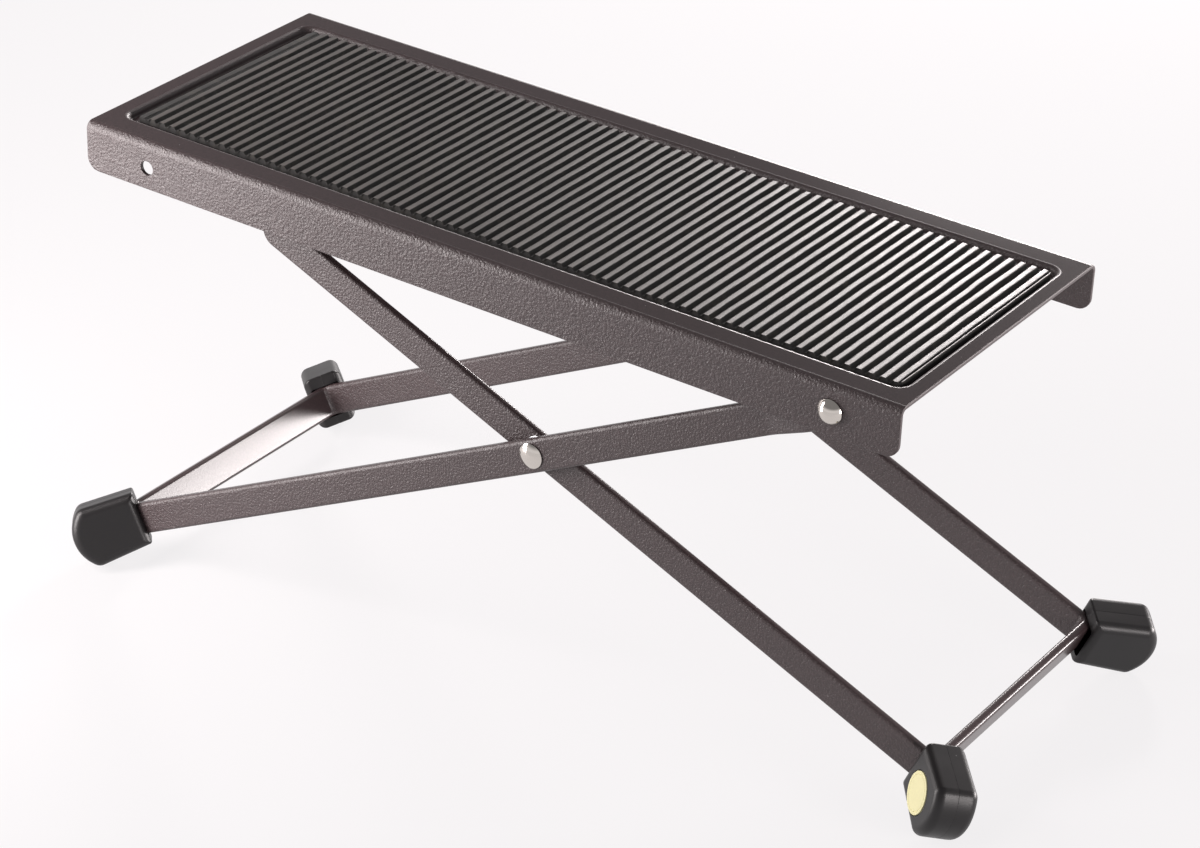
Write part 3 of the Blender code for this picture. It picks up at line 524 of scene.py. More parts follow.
def mat_rubber(context):
    """Ribbed rubber sheet, vulcanised in a steel mould: matt black in the valleys, with brown smudges of old
    glue and dirt. The crests are scuffed grey by shoes, and polished enough to mirror a lamp broadly."""
    finish = context.scene.footrest_finish
    plate = context.scene.footrest_plate
    mat = context.scene.footrest_mat
    up = Vector((math.sin(plate.slope), 0, math.cos(plate.slope)))
    crest_height = up.dot(HINGE) + plate.hinge_below_top - plate.recess_depth + mat.seat + mat.base + mat.rise
    material, tree = new_material("ribbed_rubber")
    place = add_node(tree, "TexCoord").outputs["Object"]
    height = add_node(tree, "VectorMath", {0: place, 1: up}, operation="DOT_PRODUCT")
    # Grain of the steel mould, about 0.4 mm, smudges a few millimetres long, and wear over 20 mm
    grain = add_node(tree, "TexNoise", {"Vector": place, "Scale": 1 / 0.0004, "Detail": 2.0})
    smear = add_node(tree, "TexNoise", {"Vector": place, "Scale": 1 / 0.004, "Detail": 3.0,
                                        "Roughness": 0.65})
    wear = add_node(tree, "TexNoise", {"Vector": place, "Scale": 1 / 0.02, "Detail": 4.0})
    relief = add_node(tree, "Bump", {"Height": grain, "Strength": 0.5, "Distance": 0.00008})
    # Shoes reach the top fifth of a rib
    crest = add_node(tree, "MapRange", {"Value": height, "From Min": crest_height - mat.rise * 0.2,
                                        "From Max": crest_height - mat.rise * 0.06})
    worn = add_node(tree, "MapRange", {"Value": wear, "From Min": 0.25, "From Max": 0.6, "To Min": 0.6,
                                       "To Max": 1.0})
    scuff = add_node(tree, "Math", {0: crest, 1: worn}, operation="MULTIPLY")
    stain = add_node(tree, "MapRange", {"Value": smear, "From Min": 0.5, "From Max": 0.75, "To Max": 0.8})
    shade = add_node(tree, "Mix", {"Factor": stain, "A": (*finish.mat, 1), "B": (*finish.stain, 1)},
                     data_type="RGBA")
    shade = add_node(tree, "Mix", {"Factor": scuff, "A": shade, "B": (*finish.worn, 1)}, data_type="RGBA")
    polish = add_node(tree, "MapRange", {"Value": smear, "From Min": 0.3, "From Max": 0.7, "To Min": 0.4,
                                         "To Max": 0.46})
    gloss = add_node(tree, "Mix", {"Factor": crest, "A": 0.75, "B": polish}, data_type="FLOAT")
    shader = add_node(tree, "BsdfPrincipled", {"Base Color": shade, "Roughness": gloss, "IOR": 1.55,
                                               "Normal": relief})
    add_node(tree, "OutputMaterial", {"Surface": shader})
    return material


def boot_rubber(context):
    """Moulded rubber from a polished steel mould: a soft satin sheen with broad highlights."""
    finish = context.scene.footrest_finish
    material, tree = new_material("moulded_rubber")
    place = add_node(tree, "TexCoord").outputs["Object"]
    # Grain of the mould, about 0.4 mm, and the rubber's flow over 8 mm
    grain = add_node(tree, "TexNoise", {"Vector": place, "Scale": 1 / 0.0004, "Detail": 2.0})
    flow = add_node(tree, "TexNoise", {"Vector": place, "Scale": 1 / 0.008, "Detail": 3.0})
    relief = add_node(tree, "Bump", {"Height": grain, "Strength": 0.25, "Distance": 0.00001})
    gloss = add_node(tree, "MapRange", {"Value": flow, "To Min": 0.36, "To Max": 0.46})
    speck = add_node(tree, "TexVoronoi", {"Vector": place, "Scale": 1 / 0.005})
    dust = add_node(tree, "MapRange", {"Value": speck, "From Min": 0.05, "From Max": 0.03, "To Max": 0.7})
    shade = add_node(tree, "Mix", {"Factor": dust, "A": (*finish.boot, 1), "B": (*finish.specks, 1)},
                     data_type="RGBA")
    shader = add_node(tree, "BsdfPrincipled", {"Base Color": shade, "Roughness": gloss, "IOR": 1.52,
                                               "Specular IOR Level": 0.35, "Normal": relief})
    add_node(tree, "OutputMaterial", {"Surface": shader})
    return material


def plated_metal(name, base, low, high, scale):
    """Plated steel: bright metal whose gloss changes a little over the distance given."""
    if name in bpy.data.materials:
        return bpy.data.materials[name]
    material, tree = new_material(name)
    place = add_node(tree, "TexCoord").outputs["Object"]
    haze = add_node(tree, "TexNoise", {"Vector": place, "Scale": 1 / scale, "Detail": 4.0})
    gloss = add_node(tree, "MapRange", {"Value": haze, "To Min": low, "To Max": high})
    relief = add_node(tree, "Bump", {"Height": haze, "Strength": 0.2, "Distance": 0.00002})
    shader = add_node(tree, "BsdfPrincipled", {"Base Color": (*base, 1), "Metallic": 1.0,
                                               "Roughness": gloss, "Normal": relief})
    add_node(tree, "OutputMaterial", {"Surface": shader})
    return material


def nickel_plate(context):
    """Nickel plate, barrel plated over a cold-headed dome: bright, warm and slightly hazy."""
    return plated_metal("nickel_plate", context.scene.footrest_finish.nickel, 0.16, 0.3, 0.0015)


def zinc_plate(context):
    """Zinc plate, passivated clear: a duller, bluer bright metal than nickel."""
    return plated_metal("zinc_plate", context.scene.footrest_finish.zinc, 0.28, 0.45, 0.002)


def cream_enamel(context):
    """Cream enamel ink under a thin clear film: smooth, with faint fibres of the paper below."""
    material, tree = new_material("cream_enamel")
    place = add_node(tree, "TexCoord").outputs["Object"]
    fibre = add_node(tree, "TexNoise", {"Vector": place, "Scale": 1 / 0.0006, "Detail": 3.0})
    tone = add_node(tree, "MapRange", {"Value": fibre, "To Min": 0.9, "To Max": 1.05})
    shade = add_node(tree, "Mix", {"Factor": 1.0, "A": (*context.scene.footrest_finish.inlay, 1),
                                   "B": tone}, data_type="RGBA", blend_type="MULTIPLY")
    shader = add_node(tree, "BsdfPrincipled", {"Base Color": shade, "Roughness": 0.35, "IOR": 1.5})
    add_node(tree, "OutputMaterial", {"Surface": shader})
    return material


def floor_paper(context):
    """Seamless white paper: the camera and glossy surfaces see it near white, with its soft shadows."""
    stage = context.scene.footrest_stage
    material, tree = new_material("white_paper")
    rays = add_node(tree, "LightPath").outputs
    seen = add_node(tree, "Math", {0: rays["Is Camera Ray"], 1: rays["Is Glossy Ray"]}, operation="MAXIMUM")
    seen = add_node(tree, "Math", {0: seen, 1: rays["Is Transmission Ray"]}, operation="MAXIMUM")
    # The rest of what they see is the lit paper, which takes the shadows
    share = add_node(tree, "Math", {0: seen, 1: 0.85}, operation="MULTIPLY")
    paper = add_node(tree, "BsdfDiffuse", {"Color": (*stage.floor_colour, 1)})
    white = add_node(tree, "Emission", {"Color": (*stage.backdrop, 1), "Strength": 1.0})
    surface = add_node(tree, "MixShader", {0: share, 1: paper, 2: white})
    add_node(tree, "OutputMaterial", {"Surface": surface})
    return material


# Plate and mat

def recess_wall(plate):
    """The recess's wall from its rim to its floor, as steps in from the rim and up from it."""
    bends = plate.recess_edge + plate.recess_foot
    straight = plate.recess_depth - bends * (1 - math.cos(plate.wall_slope))
    width = bends * math.sin(plate.wall_slope) + straight / math.tan(plate.wall_slope)
    turn = math.degrees(plate.wall_slope)
    edge = arc((0, -plate.recess_edge), plate.recess_edge, 90, 90 - turn, 2 * QUARTER)
    foot = arc((width, plate.recess_foot - plate.recess_depth), plate.recess_foot, 270 - turn, 270)
    return edge + foot


def recess_limits(plate):
    """Left, right and half width of the recess's rim, from the hinge pin."""
    left = plate.hinge_from_end - plate.length + plate.left_border
    right = plate.hinge_from_end - plate.right_border
    return left, right, plate.width / 2 - plate.side_border


def plate_mesh(plate, hinge_hole):
    """The sheet's outer face: border, pressed wall, recess floor, bends and flanges."""
    left = plate.hinge_from_end - plate.length
    right = plate.hinge_from_end
    flat = plate.width / 2 - plate.bend
    top = plate.hinge_below_top
    rim_left, rim_right, rim_half = recess_limits(plate)
    bm = bmesh.new()

    steps = 2 * QUARTER
    border = [(left, -flat), (right, -flat), (right, flat), (left, flat)]
    rings = []
    for inset, rise in recess_wall(plate):
        outline = rounded_rectangle(rim_left + inset, rim_right - inset, inset - rim_half, rim_half - inset,
                                    plate.recess_corner - inset, steps)
        rings.append([(x, y, top + rise) for x, y in outline])
    corners, rim = filled(bm, [border, [(x, y) for x, y, _ in rings[0]]], lambda x, y: (x, y, top))
    for ring in rings[1:]:
        after = [bm.verts.new(point) for point in ring]
        bridge(bm, rim + rim[:1], after + after[:1])
        rim = after
    bm.faces.new(rim)

    low = top - plate.flange
    corner = plate.flange_corner
    outline = [(left, top - plate.bend), (right, top - plate.bend)]
    outline += arc((right - corner, low + corner), corner, 0, -90)
    outline += arc((left + corner, low + corner), corner, -90, -180)
    spare = (left + plate.hole_from_end, top - plate.hole_below_top)
    holes = [arc(centre, radius, 0, 360, 4 * steps)[1:]
             for centre, radius in ((spare, plate.spare_hole), ((0, 0), hinge_hole))]
    for side, ends in ((-1, corners[:2]), (1, [corners[3], corners[2]])):
        row = ends
        for out, down in arc((0, -plate.bend), plate.bend, 90, 0, steps)[1:]:
            after = [bm.verts.new((vert.co.x, side * (flat + out), top + down)) for vert in ends]
            bridge(bm, row, after)
            row = after
        filled(bm, [outline, *holes], lambda x, z: (x, side * plate.width / 2, z))
    bmesh.ops.remove_doubles(bm, verts=bm.verts, dist=WELD)
    bmesh.ops.recalc_face_normals(bm, faces=bm.faces)
    level = [face for face in bm.faces if abs(face.normal.z) > 0.99]
    if max(level, key=lambda face: face.calc_area()).normal.z < 0:
        bmesh.ops.reverse_faces(bm, faces=bm.faces)
    return bm


class FOOTREST_OT_top_plate(bpy.types.Operator):
    """Builds the pressed steel plate with its recess, flanges and holes"""

    bl_idname = "footrest.top_plate"
    bl_label = "Top Plate"

    def execute(self, context):
        plate = context.scene.footrest_plate
        pins = context.scene.footrest_pins
        item = piece(context, "pressed_plate", plate_mesh(plate, pins.shank + pins.clearance),
                     plate_frame(context.scene), "plate", sheet_coat(context),
                     "top_plate")
        modify(item, "SOLIDIFY", thickness=plate.sheet, offset=-1, use_even_offset=True)
        modify(item, "BEVEL", width=plate.edge, segments=3, limit_method="ANGLE",
               angle_limit=math.radians(60), use_clamp_overlap=False)
        modify(item, "WEIGHTED_NORMAL", keep_sharp=False, weight=80)
        settle(context, item)
        return {"FINISHED"}


def rib_steps(mat):
    """One rib from its middle to the middle of the valley: steps across, each with its height."""
    crest = mat.crest / 2
    foot = mat.foot / 2
    over = mat.crest_round
    under = mat.foot_round
    return [(0, mat.rise), (crest / 2, mat.rise), (crest - over, mat.rise), (crest, mat.rise - over / 4),
            (crest + over / 2, mat.rise - over), ((crest + foot) / 2, mat.rise / 2),
            (foot - under / 3, under * 2 / 3), (foot + under / 3, under / 8), (foot + under, 0),
            (mat.pitch / 2, 0)]


def mat_columns(mat, left, right):
    """Across the whole mat: each step with its height, the rib that it belongs to and its side of it."""
    steps = rib_steps(mat)
    ribs = int((right - left) / mat.pitch)
    columns = [(left, 0, 0, 0)]
    for rib in range(ribs):
        middle = left + mat.pitch * (rib + 0.5) + mat.pull * math.sin(math.pi * (rib + 0.5) / ribs)
        share = 1 if rib else mat.first_share
        columns += [(middle - across, height * share, rib, -1) for across, height in steps[-2:0:-1]]
        columns += [(middle + across, height * share, rib, 1) for across, height in steps[:-1]]
    # The last rib ends at its foot, and the sheet's cut edge rises beside it as the next one's flank
    last = middle + mat.foot / 2
    columns = [column for column in columns if column[0] < last]
    strip = right - mat.edge_strip
    over = mat.crest_round
    edge = [((last + strip) / 2, mat.rise / 4), (strip, mat.rise - over), (strip + over, mat.rise),
            (right - over, mat.rise), (right, mat.rise - over)]
    return columns + [(x, height, ribs, 0) for x, height in edge]


def uneven(rib, spread, along, plane):
    """Smooth noise between -1 and 1 along a rib, from one plane of the pattern. The spread sets how far apart
    the ribs' lines lie there: well under 1 makes neighbours alike, and more makes each rib its own."""
    return noise.noise(Vector((rib * spread, along, plane)))


def strayed(mat, rib, along, side, height):
    """How far a point of a rib strays across, from the sheet's moulding and the pull of the glue."""
    if rib == 0 and not side:
        return 0
    along /= mat.wander_length
    bend = uneven(rib, 7.31, along, 0.5) * (1 + 1.6 * max(uneven(rib, 0.61, 2.5, 0.5), 0))
    kink = uneven(rib, 3.17, along * 2.3, 7.5)
    swell = uneven(rib, 5.77, along * 1.7, 3.5 + side)
    return mat.wander * height / mat.rise * (bend + 0.5 * kink + 0.4 * swell * side)


def mat_mesh(plate, mat):
    """A ribbed sheet cut square to size: its ribbed top, cut sides with dished rib ends, and flat back."""
    rim_left, rim_right, rim_half = recess_limits(plate)
    wall = recess_wall(plate)[-1][0]
    left = rim_left + wall + mat.left_gap
    right = rim_right - wall - mat.right_gap
    front = -rim_half + wall + mat.front_gap
    rear = rim_half - wall - mat.rear_gap
    low = plate.hinge_below_top - plate.recess_depth + mat.seat
    valley = low + mat.base
    columns = mat_columns(mat, left, right)
    bm = bmesh.new()
    grid = []
    for x, height, rib, side in columns:
        from_side = min(x - left, right - x, mat.corner)
        inset = mat.corner - math.sqrt(mat.corner ** 2 - (mat.corner - from_side) ** 2)
        strand = []
        for row in range(RIB_STEPS + 1):
            y = front + inset + (rear - front - 2 * inset) * row / RIB_STEPS
            worn = mat.wear * (1 - uneven(rib, 2.3, y / mat.wander_length, 11.5)) / 2
            strand.append(bm.verts.new((x + strayed(mat, rib, y, side, height), y,
                                        valley + height * (1 - worn))))
        grid.append(strand)
    for strand, after in zip(grid, grid[1:]):
        bridge(bm, strand, after)
    # Down each cut end: a lip that follows the ribs, the dished middle, the base and the back's edge
    ends = []
    for at, inward in ((0, 1), (-1, -1)):
        top = [strand[at] for strand in grid]
        lip = [bm.verts.new(vert.co - Vector((0, 0, mat.end_lip))) for vert in top]
        dish = []
        sill = []
        for vert, (_, height, _, _) in zip(top, columns):
            hollow = inward * mat.end_hollow * height / mat.rise
            dish.append(bm.verts.new(vert.co + Vector((0, hollow, -2 * mat.end_lip))))
            sill.append(bm.verts.new((vert.co.x, vert.co.y + hollow / 2, valley - 3 * mat.end_lip)))
        foot = [bm.verts.new((vert.co.x, vert.co.y, low)) for vert in top]
        ends.append((lip, dish, sill, foot))
        for row, after in ((top, lip), (lip, dish), (dish, sill), (sill, foot)):
            bridge(bm, row, after)
    down, up = ends[0], ends[1][::-1]
    for at in (0, -1):
        bm.faces.new([row[at] for row in down + up] + grid[at][::-1])
    bm.faces.new(down[-1] + up[0][::-1])
    bmesh.ops.recalc_face_normals(bm, faces=bm.faces)
    return bm


class FOOTREST_OT_rubber_mat(bpy.types.Operator):
    """Builds the ribbed rubber mat in the plate's recess"""

    bl_idname = "footrest.rubber_mat"
    bl_label = "Rubber Mat"

    def execute(self, context):
        scene = context.scene
        plate = scene.footrest_plate
        rim_left, rim_right, _ = recess_limits(plate)
        middle = Vector(((rim_left + rim_right) / 2, 0, 0))
        turn = Matrix.Translation(middle) @ Matrix.Rotation(-scene.footrest_mat.turn, 4, "Z")
        place = plate_frame(scene) @ turn @ Matrix.Translation(-middle)
        piece(context, "ribbed_mat", mat_mesh(plate, scene.footrest_mat), place, "plate",
              mat_rubber(context), "rubber_mat")
        return {"FINISHED"}


# Leg frames

def strip_mesh(legs, path, tip, lift):
    """A frame of flat bar with rolled edges, swept along the middle of its path to round ends."""
    half_width = legs.width / 2
    rings = []
    for index, point in enumerate(path):
        arriving = (point - path[index - 1] if index else path[1] - point).normalized()
        leaving = (path[index + 1] - point).normalized() if index + 1 < len(path) else arriving
        along = (arriving + leaving).normalized()
        across = Vector((-along.y, along.x)) / max(along.dot(arriving), 0.5)
        width, thickness = half_width, legs.thickness / 2
        from_tip = abs(point.x - tip)
        if from_tip < half_width:
            # The end is half a disc as wide as the bar, thinned a little at its very rim
            width = math.sqrt(max(half_width ** 2 - (half_width - from_tip) ** 2, 0)) + TIP
            rounding = min(from_tip / (legs.edge / 2), 1)
            thickness -= legs.edge / 4 * (1 - math.sqrt(1 - (1 - rounding) ** 2))
        section = rounded_rectangle(-thickness, thickness, -width, width, min(legs.edge, thickness, width), 4)
        rings.append([(*(point + across * x), lift + z) for x, z in section])
    return loft(rings)


def frame_path(legs, arm, tip, foot, middle):
    """The strip's middle line: front arm from its round end, foot and rear arm."""
    path = []
    for step in range(1, 2 * QUARTER):
        along = legs.width / 2 * (1 - math.cos(math.pi / 2 * step / (2 * QUARTER)))
        path.append(Vector((tip + along, arm[0][1])))
    path += rounded_path(arm, {index: legs.joggle_bend for index in range(1, len(arm) - 1)})
    path.append(Vector((foot - legs.thickness / 2, -middle)))
    corners = {len(path) - 1: legs.bend, len(path): legs.bend}
    return rounded_path(path + [Vector((point.x, -point.y)) for point in reversed(path)], corners)


class FOOTREST_OT_leg_frames(bpy.types.Operator):
    """Bends the two leg frames from flat strip"""

    bl_idname = "footrest.leg_frames"
    bl_label = "Leg Frames"

    def execute(self, context):
        scene = context.scene
        legs = scene.footrest_legs
        hole = scene.footrest_pins.shank + scene.footrest_pins.clearance
        outer = legs.outer_frame_width / 2 - legs.thickness / 2
        inner = legs.inner_frame_width / 2 - legs.thickness / 2
        outer_arm = [(0, -outer - legs.joggle), (legs.joggle_start, -outer - legs.joggle),
                     (legs.joggle_end, -outer + legs.outer_toe_in), (legs.hinge_to_crossing, -outer)]
        inner_arm = [(-legs.crossing_to_rod, -inner + legs.inner_toe_in), (0, -inner)]
        kinds = (
            ("outer", outer_frame(scene), outer_arm, outer, legs.outer_length, legs.outer_lift,
             (0, legs.hinge_to_crossing)),
            ("inner", inner_frame(scene), inner_arm, inner, legs.inner_length, legs.inner_lift, (0,)),
        )
        for kind, place, arm, middle, foot, lift, holes in kinds:
            tip = arm[0][0] - legs.width / 2
            strip = strip_mesh(legs, frame_path(legs, arm, tip, foot, middle), tip, lift)
            item = piece(context, f"{kind}_frame_strip", strip, place, f"{kind}_frame",
                         bar_coat(context), f"{kind}_leg_frame")
            for along in holes:
                bore(context, item, place, along, hole, legs.outer_frame_width)
            modify(item, "WEIGHTED_NORMAL", keep_sharp=True, weight=80)
            settle(context, item)
        return {"FINISHED"}


# Rivets, washers, rod and racks

def dome(radius, height, base):
    """A shallow dome's outer side, from near its crown down to its rounded rim."""
    sphere = (radius * radius + height * height) / (2 * height)
    steps = 2 * QUARTER
    points = []
    for step in range(1, steps + 1):
        turn = math.asin(radius / sphere) * step / steps
        points.append((sphere * math.sin(turn), base + height - sphere + sphere * math.cos(turn)))
    return points


def rivet_profile(pins, head, rise, grip):
    peen = [(radius, -grip - height) for radius, height in dome(pins.peen, pins.peen_rise, 0)]
    return dome(head, rise, 0) + [(pins.shank, 0), (pins.shank, -grip)] + peen[::-1]


class FOOTREST_OT_rivets(bpy.types.Operator):
    """Builds the hinge and crossing rivets, and the washers between the crossing arms"""

    bl_idname = "footrest.rivets"
    bl_label = "Rivets and Washers"

    def execute(self, context):
        scene = context.scene
        plate = scene.footrest_plate
        legs = scene.footrest_legs
        pins = scene.footrest_pins
        arm_gap = pins.washer_thickness + 2 * pins.clearance
        hinge_grip = plate.sheet + legs.thickness + 3 * pins.clearance
        crossing_grip = 2 * legs.thickness + arm_gap + 2 * pins.clearance
        half = pins.washer_thickness / 2
        inside = pins.shank + pins.clearance
        rim = pins.washer - pins.edge
        washer = [(inside, half), (rim, half), (pins.washer, half - pins.edge),
                  (pins.washer, pins.edge - half), (rim, -half), (inside, -half)]
        hinge = rivet_profile(pins, pins.hinge_head, pins.hinge_rise, hinge_grip)
        crossing = rivet_profile(pins, pins.crossing_head, pins.crossing_rise, crossing_grip)
        kinds = (
            ("hinge_rivet", hinge, False, plate_frame(scene), 0, plate.width / 2 + pins.clearance,
             "plate", "nickel_plate", nickel_plate),
            ("crossing_rivet", crossing, False, outer_frame(scene), legs.hinge_to_crossing,
             legs.outer_frame_width / 2 + pins.clearance, "outer_frame", "nickel_plate", nickel_plate),
            ("crossing_washer", washer, True, outer_frame(scene), legs.hinge_to_crossing,
             legs.inner_frame_width / 2 + arm_gap / 2, "outer_frame", "zinc_plated_steel", zinc_plate),
        )
        for name, profile, ring, place, along, out, body, slot, finish in kinds:
            for word, side in SIDES:
                seat = Matrix.Translation((along, side * out, 0))
                seat = place @ seat @ Matrix.Rotation(-side * math.pi / 2, 4, "X")
                piece(context, f"{name}_{word}_dressed", turned(profile, ring), seat, body,
                      finish(context), f"{name}_{word}")
        return {"FINISHED"}


class FOOTREST_OT_adjuster(bpy.types.Operator):
    """Builds the adjuster rod, and finishes the two notched racks that it holds up"""

    bl_idname = "footrest.adjuster"
    bl_label = "Adjuster"

    def execute(self, context):
        scene = context.scene
        legs = scene.footrest_legs
        pins = scene.footrest_pins
        half = legs.inner_frame_width / 2 - legs.inner_toe_in - legs.thickness
        # The weld is a hollow fillet from the arm to the rod, with a blunt toe on the arm
        weld = arc((pins.rod + pins.bead, half - pins.bead), pins.bead, 90, 180)
        toe = pins.rod + pins.bead * 0.9
        upper = [(pins.rod - pins.rod_chamfer, half), (toe, half)] + weld[1:]
        profile = upper + [(radius, -height) for radius, height in reversed(upper)]
        seat = inner_frame(scene) @ Matrix.Translation((-legs.crossing_to_rod, 0, 0))
        seat = seat @ Matrix.Rotation(math.pi / 2, 4, "X")
        piece(context, "adjuster_rod_welded", turned(profile), seat, "inner_frame",
              bar_coat(context), "adjuster_rod")
        for word, _ in SIDES:
            rack = frame["nodes"][f"height_rack_{word}"]
            rack.data.materials.clear()
            rack.data.materials.append(sheet_coat(context))
            modify(rack, "BEVEL", width=pins.edge, segments=2, limit_method="ANGLE",
                   angle_limit=math.radians(50))
            modify(rack, "WEIGHTED_NORMAL", weight=80)
        return {"FINISHED"}


# Boots and inlay

def boot_outline(boots, inset):
    """The boot seen on its flat side, drawn in by the inset: X runs out from the mouth."""
    half = boots.width / 2
    end_radius = (half * half + boots.end_rise * boots.end_rise) / (2 * boots.end_rise)
    end_centre = Vector((boots.side + boots.end_rise - end_radius, 0))
    flare = math.atan2((boots.width - boots.mouth) / 2, boots.side)
    along = Vector((math.cos(flare), math.sin(flare)))
    inward = Vector((math.sin(flare), -math.cos(flare)))
    start = Vector((0, boots.mouth / 2)) + inward * boots.corner - end_centre
    middle = along.dot(start)
    reach = end_radius - boots.corner
    corner = start + along * (math.sqrt(middle * middle - start.length_squared + reach * reach) - middle)
    meet = math.degrees(math.atan2(corner.y, corner.x))
    corner += end_centre

    mouth = boots.mouth / 2 - inset / math.cos(flare) + inset * math.tan(flare)
    turn = 90 + math.degrees(flare)
    upper = arc((inset + boots.lip, mouth - boots.lip), boots.lip, 180, turn, 4)
    upper += arc(corner, boots.corner - inset, turn, meet, 8)
    upper += arc(end_centre, end_radius - inset, meet, 0, 10)[1:]
    return upper + [(x, -y) for x, y in reversed(upper[:-1])]


def boot_frame(place, foot, corner, side, grip, shift):
    """The frame of a boot's mouth, on the diagonal of one corner of a leg frame."""
    outward = Vector((1, side, 0)).normalized()
    mouth = Vector((foot, corner * side, 0)) - outward * grip
    mouth += Vector((1, -side, 0)).normalized() * shift
    turn = Matrix.Rotation(math.pi / 4 * side, 4, "Z") @ Matrix.Rotation(math.pi / 2, 4, "X")
    return place @ Matrix.Translation(mouth) @ turn


def boot_mesh(boots):
    """Rings from one flat side to the other, round the rim, with the mould's line half way."""
    flat = boots.thickness / 2 - boots.edge
    steps = 8
    levels = []
    for step in range(steps, -1, -1):
        turn = math.pi / 2 * step / steps
        levels.append((-flat - boots.edge * math.sin(turn), boots.edge * (1 - math.cos(turn))))
    line = boots.parting_width / 2
    levels += [(-line, 0), (-line / 3, boots.parting_depth), (line / 3, boots.parting_depth), (line, 0)]
    levels += [(-level, inset) for level, inset in levels[steps::-1]]
    return loft([[(x, y, level) for x, y in boot_outline(boots, inset)] for level, inset in levels])


class FOOTREST_OT_boots(bpy.types.Operator):
    """Moulds the four rubber boots and the plain round inlay in one of them"""

    bl_idname = "footrest.boots"
    bl_label = "Rubber Boots"

    def execute(self, context):
        scene = context.scene
        legs = scene.footrest_legs
        pins = scene.footrest_pins
        boots = scene.footrest_boots
        rubber = boot_rubber(context)
        kinds = (
            ("outer", outer_frame(scene), legs.outer_length, legs.outer_frame_width / 2, legs.outer_lift,
             boots.outer_grip, 0),
            ("inner", inner_frame(scene), legs.inner_length, legs.inner_frame_width / 2, legs.inner_lift,
             boots.inner_grip, boots.inner_shift),
        )
        # The pocket is a slot as wide as the strip's corner is there, and as high as the strip
        half = max(boots.outer_grip, boots.inner_grip + boots.inner_shift) + pins.clearance * math.sqrt(2)
        half_width = legs.width / 2 + pins.clearance
        for kind, place, foot, corner, lift, grip, shift in kinds:
            for word, side in SIDES:
                seat = boot_frame(place, foot, corner, side, grip, shift)
                boot = piece(context, f"{kind}_boot_{word}", boot_mesh(boots), seat, f"{kind}_frame",
                             rubber, f"{kind}_foot_{word}")
                section = rounded_rectangle(lift - half_width, lift + half_width, -half, half, pins.edge * 4)
                pocket = loft([[(x, y, z) for y, z in section] for x in (-boots.lip, boots.pocket_depth)])
                cut(context, boot, seat, pocket)
                if (kind, word) == ("inner", "front"):
                    self.add_inlay(context, boot, seat)
                modify(boot, "WEIGHTED_NORMAL", keep_sharp=True, weight=60)
                settle(context, boot)
        return {"FINISHED"}

    def add_inlay(self, context, boot, seat):
        """Cuts the inlay's pocket into the boot's outer side and lays the inlay in it."""
        boots = context.scene.footrest_boots
        clearance = context.scene.footrest_pins.clearance
        face = Matrix.Translation((boots.inlay_from_mouth, -boots.inlay_off_centre, boots.thickness / 2))
        depth = boots.inlay_thickness + clearance - boots.inlay_proud
        cut(context, boot, seat @ face,
            turned([(boots.inlay + clearance, depth), (boots.inlay + clearance, -depth)]))
        top = boots.inlay_proud
        edge = top / 2
        ring = boots.inlay_ring
        groove = boots.inlay_groove
        profile = [(ring / 2, top), (ring - groove, top), (ring, top - groove), (ring + groove, top),
                   (boots.inlay - edge, top), (boots.inlay - edge / 4, top - edge / 4),
                   (boots.inlay, top - edge), (boots.inlay, top - boots.inlay_thickness)]
        piece(context, "round_inlay", turned(profile), seat @ face, "inner_frame",
              cream_enamel(context), "foot_label")


# Stage

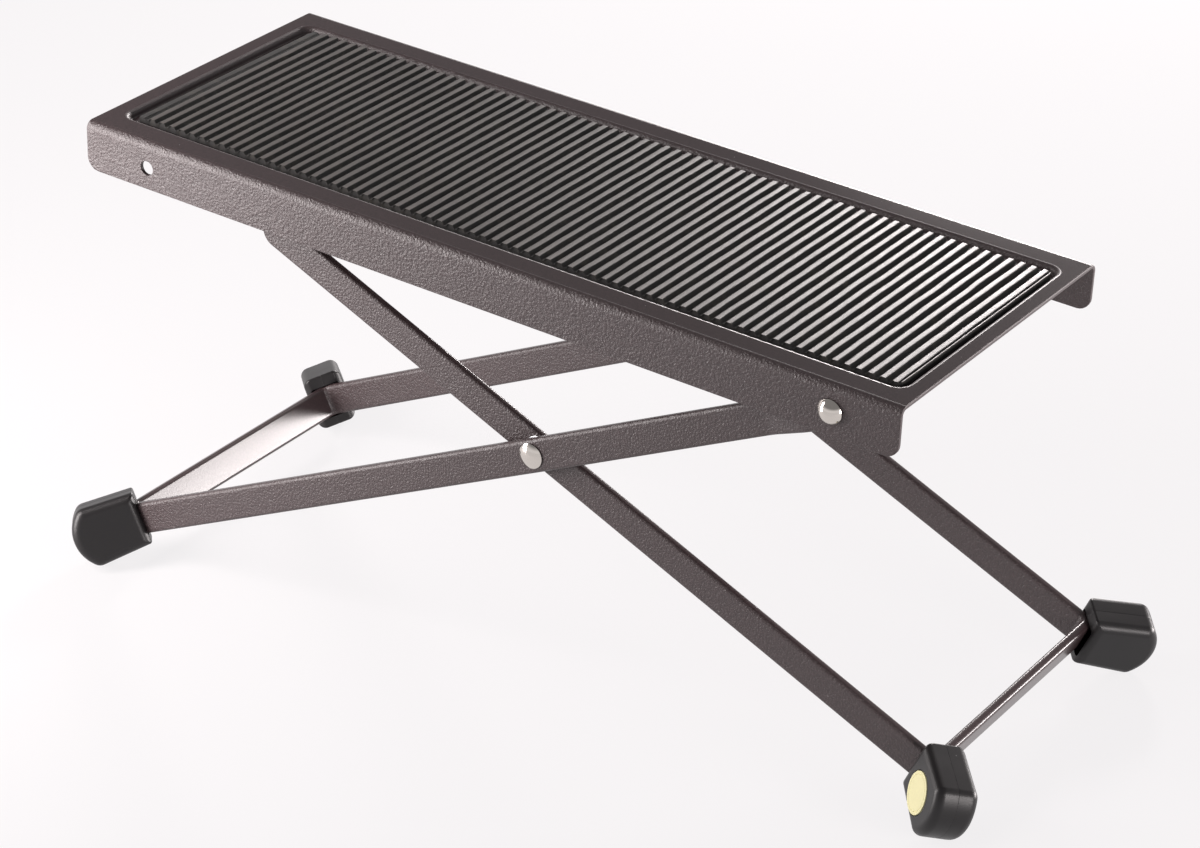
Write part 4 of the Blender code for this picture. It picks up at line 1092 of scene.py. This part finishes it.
class FOOTREST_OT_stage(bpy.types.Operator):
    """Sets up the pale floor, the soft lamps, the white room and the camera"""

    bl_idname = "footrest.stage"
    bl_label = "Stage"

    def execute(self, context):
        scene = context.scene
        stage = scene.footrest_stage
        bm = bmesh.new()
        bmesh.ops.create_grid(bm, x_segments=1, y_segments=1, size=stage.floor / 2)
        mesh = bpy.data.meshes.new("floor")
        bm.to_mesh(mesh)
        bm.free()
        mesh.materials.append(floor_paper(context))
        floor = bpy.data.objects.new("floor", mesh)
        scene.collection.objects.link(floor)

        for name, (size, place, target) in LAMPS.items():
            light = bpy.data.lights.new(name, "AREA")
            light.shape = "RECTANGLE"
            light.size, light.size_y = size
            light.energy = getattr(stage, name)
            light.color = stage.warmth
            lamp = bpy.data.objects.new(name, light)
            lamp.location = place
            lamp.rotation_euler = (Vector(target) - Vector(place)).to_track_quat("-Z", "Y").to_euler()
            lamp.visible_camera = False
            scene.collection.objects.link(lamp)

        world = bpy.data.worlds.new("white_room")
        world.use_nodes = True
        tree = world.node_tree
        tree.nodes.clear()
        rays = add_node(tree, "LightPath").outputs
        mirrored = add_node(tree, "Math", {0: rays["Is Glossy Ray"], 1: rays["Is Transmission Ray"]},
                            operation="MAXIMUM")
        # White paper that sweeps up behind the floor to knee height, and a dimmer room above it
        way = add_node(tree, "TexCoord").outputs["Generated"]
        height = add_node(tree, "SeparateXYZ", {"Vector": way}).outputs["Z"]
        sweep = add_node(tree, "MapRange", {"Value": height, "From Min": 0.14, "From Max": 0.4,
                                            "To Min": 1.0, "To Max": stage.ceiling})
        strength = add_node(tree, "Mix", {"Factor": mirrored, "A": stage.ambient, "B": sweep},
                            data_type="FLOAT")
        strength = add_node(tree, "Mix", {"Factor": rays["Is Camera Ray"], "A": strength, "B": 1.0},
                            data_type="FLOAT")
        room = add_node(tree, "Background", {"Color": (*stage.backdrop, 1), "Strength": strength})
        add_node(tree, "OutputWorld", {"Surface": room})
        scene.world = world

        camera = bpy.data.cameras.new("camera")
        camera.sensor_width = 36
        camera.lens = stage.lens * 1000
        viewer = bpy.data.objects.new("camera", camera)
        viewer.location = stage.view_from
        viewer.rotation_euler = stage.view_turn
        scene.collection.objects.link(viewer)
        scene.camera = viewer
        scene.view_settings.view_transform = "Standard"
        return {"FINISHED"}


PIECES = (FOOTREST_OT_top_plate, FOOTREST_OT_rubber_mat, FOOTREST_OT_leg_frames, FOOTREST_OT_rivets,
          FOOTREST_OT_adjuster, FOOTREST_OT_boots, FOOTREST_OT_stage)
GROUPS = {
    "footrest_plate": PlateSettings, "footrest_mat": MatSettings, "footrest_legs": LegSettings,
    "footrest_pins": PinSettings, "footrest_boots": BootSettings, "footrest_finish": FinishSettings,
    "footrest_stage": StageSettings,
}


class FOOTREST_PT_pieces(bpy.types.Panel):
    """Lists the footrest's pieces"""

    bl_idname = "FOOTREST_PT_pieces"
    bl_label = "Footrest Pieces"
    bl_space_type = "VIEW_3D"
    bl_region_type = "UI"
    bl_category = "Footrest"

    def draw(self, context):
        for operator in PIECES:
            self.layout.operator(operator.bl_idname)


def register():
    for group in GROUPS.values():
        bpy.utils.register_class(group)
    for name, group in GROUPS.items():
        setattr(bpy.types.Scene, name, PointerProperty(type=group))
    for operator in PIECES:
        bpy.utils.register_class(operator)
    bpy.utils.register_class(FOOTREST_PT_pieces)


def unregister():
    bpy.utils.unregister_class(FOOTREST_PT_pieces)
    for operator in reversed(PIECES):
        bpy.utils.unregister_class(operator)
    for name in GROUPS:
        delattr(bpy.types.Scene, name)
    for group in reversed(GROUPS.values()):
        bpy.utils.unregister_class(group)


def main():
    register()
    bpy.ops.footrest.stage()
    bpy.ops.footrest.top_plate()
    bpy.ops.footrest.rubber_mat()
    bpy.ops.footrest.leg_frames()
    bpy.ops.footrest.rivets()
    bpy.ops.footrest.adjuster()
    bpy.ops.footrest.boots()


if __name__ == "__main__":
    main()
